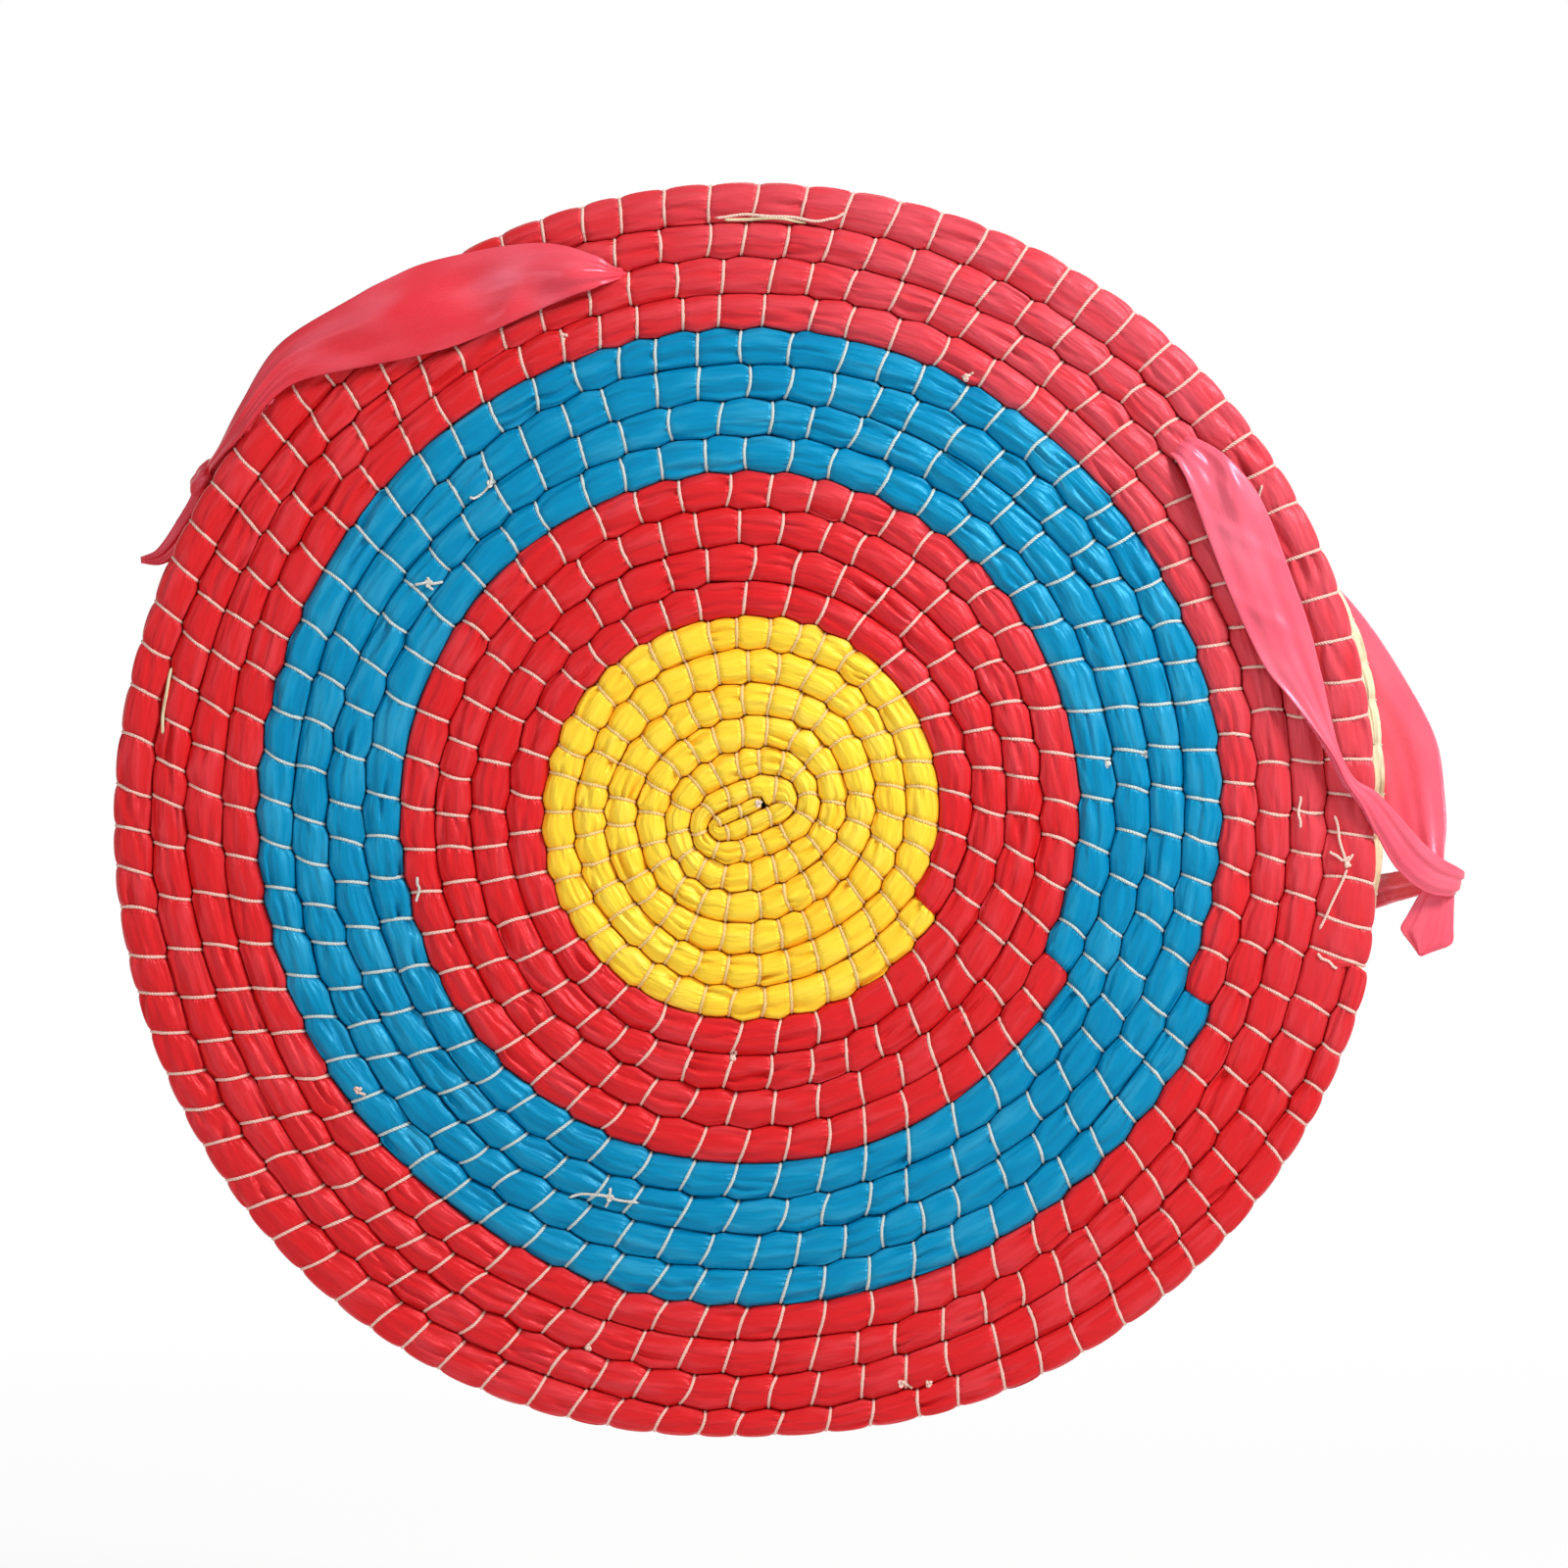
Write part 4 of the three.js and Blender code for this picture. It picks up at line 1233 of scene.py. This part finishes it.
AIM = (14.4 * MM, -THICKNESS, 9.4 * MM)  # what the camera looks at, on the face
VIEW_WIDTH = 624 * MM
SENSOR = 36
VIEW_END = 50  # metres from the camera
FLOOR_Z = -350 * MM
FLOOR_SIZE = 60.0
FLOOR_GLOW = 0.85
FLOOR_FADE = (0.5, 2.5)  # metres from the object, where the floor turns to plain white
WORLD_LIGHT = 0.33
# Each lamp's name, place and size. All of them look at the origin
LAMPS = (
    ("key", (0.95, -0.75, 0.95), 0.45),
    ("fill", (-1.8, -2.2, 0.3), 1.6),
    ("back", (0.4, 1.9, 1.2), 1.2),
)


def white_share(tree):
    """1 for rays that show the floor or the world as they are, straight or in a reflection."""
    rays = tree.nodes.new("ShaderNodeLightPath")
    seen = rays.outputs["Is Camera Ray"]
    for kind in ("Is Glossy Ray", "Is Transmission Ray"):
        either = tree.nodes.new("ShaderNodeMath")
        either.operation = "MAXIMUM"
        tree.links.new(seen, either.inputs[0])
        tree.links.new(rays.outputs[kind], either.inputs[1])
        seen = either.outputs[0]
    return seen


def floor_material(name, colour):
    """Nearly white to the eye, with the object's soft shadow. Plain pale paint to other light."""
    s = Shader(name)
    away = s.node("ShaderNodeVectorMath", {"operation": "LENGTH"})
    s.feed(away, 0, s.in_object())
    glow_share = s.spread(away.outputs["Value"], *FLOOR_FADE, FLOOR_GLOW, 1.0)
    glow = s.node("ShaderNodeEmission", Color=opaque(WHITE), Strength=1.0)
    both = s.node("ShaderNodeMixShader")
    s.feed(both, 0, s.maths("MULTIPLY", white_share(s.tree), glow_share))
    s.feed(both, 1, s.surface.outputs[0])
    s.feed(both, 2, glow.outputs[0])
    s.feed(s.tree.nodes["Material Output"], "Surface", both.outputs[0])
    return s.finish(Base_Color=opaque(colour), Roughness=0.9, Specular_IOR_Level=0.0)


def add_floor(colour):
    """A wide level floor."""
    grid = bmesh.new()
    bmesh.ops.create_grid(grid, x_segments=4, y_segments=4, size=FLOOR_SIZE / 2)
    bmesh.ops.translate(grid, verts=grid.verts, vec=(0, 0, FLOOR_Z))
    mesh = bpy.data.meshes.new("floor")
    grid.to_mesh(mesh)
    grid.free()
    mesh.materials.append(floor_material("floor_look", colour))
    floor = bpy.data.objects.new("floor", mesh)
    bpy.context.scene.collection.objects.link(floor)
    return floor


def add_light(name, place, size, power):
    data = bpy.data.lights.new(name, "AREA")
    data.size = size
    data.energy = power
    light = bpy.data.objects.new(name, data)
    light.location = place
    light.rotation_euler = (-Vector(place)).to_track_quat("-Z", "Y").to_euler()
    bpy.context.scene.collection.objects.link(light)
    return light


def add_camera(lens):
    """The scene's camera, far enough off to show the view's width whatever its lens."""
    data = bpy.data.cameras.new("camera")
    data.lens = lens
    data.sensor_width = SENSOR
    data.clip_end = VIEW_END
    camera = bpy.data.objects.new("camera", data)
    x, y, z = AIM
    camera.location = (x, y - VIEW_WIDTH * lens / SENSOR, z)
    camera.rotation_euler = (math.pi / 2, 0, 0)
    bpy.context.scene.collection.objects.link(camera)
    bpy.context.scene.camera = camera
    return camera


def light_world():
    """A white surround that lights the object less than it shows."""
    world = bpy.data.worlds.new("white")
    world.use_nodes = True
    bpy.context.scene.world = world
    tree = world.node_tree
    strength = tree.nodes.new("ShaderNodeMapRange")
    strength.inputs["To Min"].default_value = WORLD_LIGHT
    strength.inputs["To Max"].default_value = 1.0
    tree.links.new(white_share(tree), strength.inputs["Value"])
    background = tree.nodes["Background"]
    background.inputs["Color"].default_value = opaque(WHITE)
    tree.links.new(strength.outputs[0], background.inputs["Strength"])


# Operators

# The dye of each run's cloth, and how far forward in the rope the shade of the grooves reaches,
# where 1 is the crown
DYES = {
    "yellow_rope": ("yellow", 1.04),
    "inner_red_rope": ("red", 0.78),
    "blue_rope": ("blue", 0.78),
    "outer_red_rope": ("red", 0.78),
}


class BOSS_OT_face_ropes(bpy.types.Operator):
    """Make the four runs of cloth-wrapped rope on the face"""

    bl_idname = "boss.face_ropes"
    bl_label = "Face ropes"
    bl_options = {"REGISTER", "UNDO"}

    def execute(self, context):
        sizes = context.scene.boss_ropes
        for run, (node, *_) in enumerate(FACE.runs):
            dye, shade_top = DYES[node]
            colours = [getattr(sizes, dye + kind) for kind in ("", "_shade", "_shine")]
            # The dye's painted glare colour; a dye without one keeps its own colour
            painted_glare = getattr(sizes, dye + "_painted_glare", colours[0])
            slot = dye + "_cloth"
            cloth = shared_look(slot + "_look", cloth_material, *colours, painted_glare, shade_top)
            add_piece(rope_mesh(node + "_skin", FACE, run, sizes), cloth, "boss", [node])
        return {"FINISHED"}


class BOSS_OT_back_rope(bpy.types.Operator):
    """Make the straw rope behind the face"""

    bl_idname = "boss.back_rope"
    bl_label = "Back rope"
    bl_options = {"REGISTER", "UNDO"}

    def execute(self, context):
        sizes = context.scene.boss_ropes
        mesh = rope_mesh("straw_rope_skin", BACK, 0, sizes)
        add_piece(mesh, straw_look(sizes), "boss", ["straw_back_coil"])
        return {"FINISHED"}


class BOSS_OT_twine(bpy.types.Operator):
    """Make the twine stitches of the face and of the back"""

    bl_idname = "boss.twine"
    bl_label = "Twine"
    bl_options = {"REGISTER", "UNDO"}

    def execute(self, context):
        ropes, twine = context.scene.boss_ropes, context.scene.boss_twine
        cream = twine_look(twine)
        grey = shared_look("back_twine_look", twine_material, *[twine.grey] * 4)
        for name, coil, look in (("face_stitches", FACE, cream), ("back_stitches", BACK, grey)):
            add_piece(stitch_mesh(name, coil, ropes, twine.diameter / 2), look, "boss")
        return {"FINISHED"}


class BOSS_OT_loose_ends(bpy.types.Operator):
    """Make the loose threads, knots and straws on the face"""

    bl_idname = "boss.loose_ends"
    bl_label = "Loose ends"
    bl_options = {"REGISTER", "UNDO"}

    def execute(self, context):
        ropes, twine = context.scene.boss_ropes, context.scene.boss_twine
        rng = np.random.default_rng(SEED + 2)
        radius = twine.diameter / 2
        paths = np.concatenate([thread_paths(THREADS, rng), knot_paths(KNOTS, rng)])
        mesh = loose_mesh("thread_ends", paths, radius * THREAD_THICKNESS, **ring_tints(paths))
        add_piece(mesh, twine_look(twine), "boss")
        paths = thread_paths(STRAWS, rng)
        unshaded = np.ones(len(paths))
        mesh = loose_mesh("stray_straws", paths, radius * STRAW_THICKNESS, depth=unshaded)
        add_piece(mesh, straw_look(ropes), "boss")
        return {"FINISHED"}


class BOSS_OT_ribbons(bpy.types.Operator):
    """Make both ribbons, with their knots and tails"""

    bl_idname = "boss.ribbons"
    bl_label = "Ribbons"
    bl_options = {"REGISTER", "UNDO"}

    def execute(self, context):
        sizes = context.scene.boss_ribbons
        satin = satin_material("satin_look", sizes.colour, sizes.painted_glare, sizes.pale)
        for side, loop in (("left", LEFT_LOOP), ("right", RIGHT_LOOP)):
            rng = np.random.default_rng(SEED + len(side))
            back, across, half = strip(loop["back"])
            parts = [
                ribbon_mesh("face_leg", *strip(loop["face"]), rng, loop["swells"]),
                ribbon_mesh("back_leg", back, across * loop["back_smooth"], half, rng),
                knot_mesh("knot", loop, rng),
            ]
            for rows in loop["tails"]:
                parts.append(ribbon_mesh("tail", *strip(rows), rng))
            mesh = joined_mesh(side + "_satin", parts)
            ribbon = add_piece(mesh, satin, side + "_loop", [side + "_ribbon"])
        return {"FINISHED"}


class BOSS_OT_stage(bpy.types.Operator):
    """Set up the floor, the lights and the camera"""

    bl_idname = "boss.stage"
    bl_label = "Stage"
    bl_options = {"REGISTER", "UNDO"}

    def execute(self, context):
        sizes = context.scene.boss_stage
        floor = add_floor(sizes.floor)
        lights = [add_light(*lamp, getattr(sizes, lamp[0] + "_power")) for lamp in LAMPS]
        add_camera(sizes.lens)
        light_world()
        context.scene.view_settings.view_transform = "Standard"
        return {"FINISHED"}


STEPS = (
    BOSS_OT_face_ropes,
    BOSS_OT_back_rope,
    BOSS_OT_twine,
    BOSS_OT_loose_ends,
    BOSS_OT_ribbons,
    BOSS_OT_stage,
)
GROUPS = {
    "boss_ropes": BOSS_PG_ropes,
    "boss_twine": BOSS_PG_twine,
    "boss_ribbons": BOSS_PG_ribbons,
    "boss_stage": BOSS_PG_stage,
}


class BOSS_PT_panel(bpy.types.Panel):
    """Lists the steps that make the boss"""

    bl_idname = "BOSS_PT_panel"
    bl_label = "Archery boss"
    bl_space_type = "VIEW_3D"
    bl_region_type = "UI"
    bl_category = "Archery boss"

    def draw(self, context):
        for step in STEPS:
            self.layout.operator(step.bl_idname)
        for group in GROUPS:
            settings = getattr(context.scene, group)
            for key in settings.bl_rna.properties.keys():
                if key not in ("name", "rna_type"):
                    self.layout.prop(settings, key)


def register():
    for kind in (*GROUPS.values(), *STEPS, BOSS_PT_panel):
        bpy.utils.register_class(kind)
    for name, kind in GROUPS.items():
        setattr(bpy.types.Scene, name, PointerProperty(type=kind))


def unregister():
    for name in GROUPS:
        delattr(bpy.types.Scene, name)
    for kind in reversed((*GROUPS.values(), *STEPS, BOSS_PT_panel)):
        bpy.utils.unregister_class(kind)


def main():
    """Makes the whole boss and its stage."""
    register()
    bpy.ops.boss.face_ropes()
    bpy.ops.boss.back_rope()
    bpy.ops.boss.twine()
    bpy.ops.boss.loose_ends()
    bpy.ops.boss.ribbons()
    bpy.ops.boss.stage()


if __name__ == "__main__":
    main()
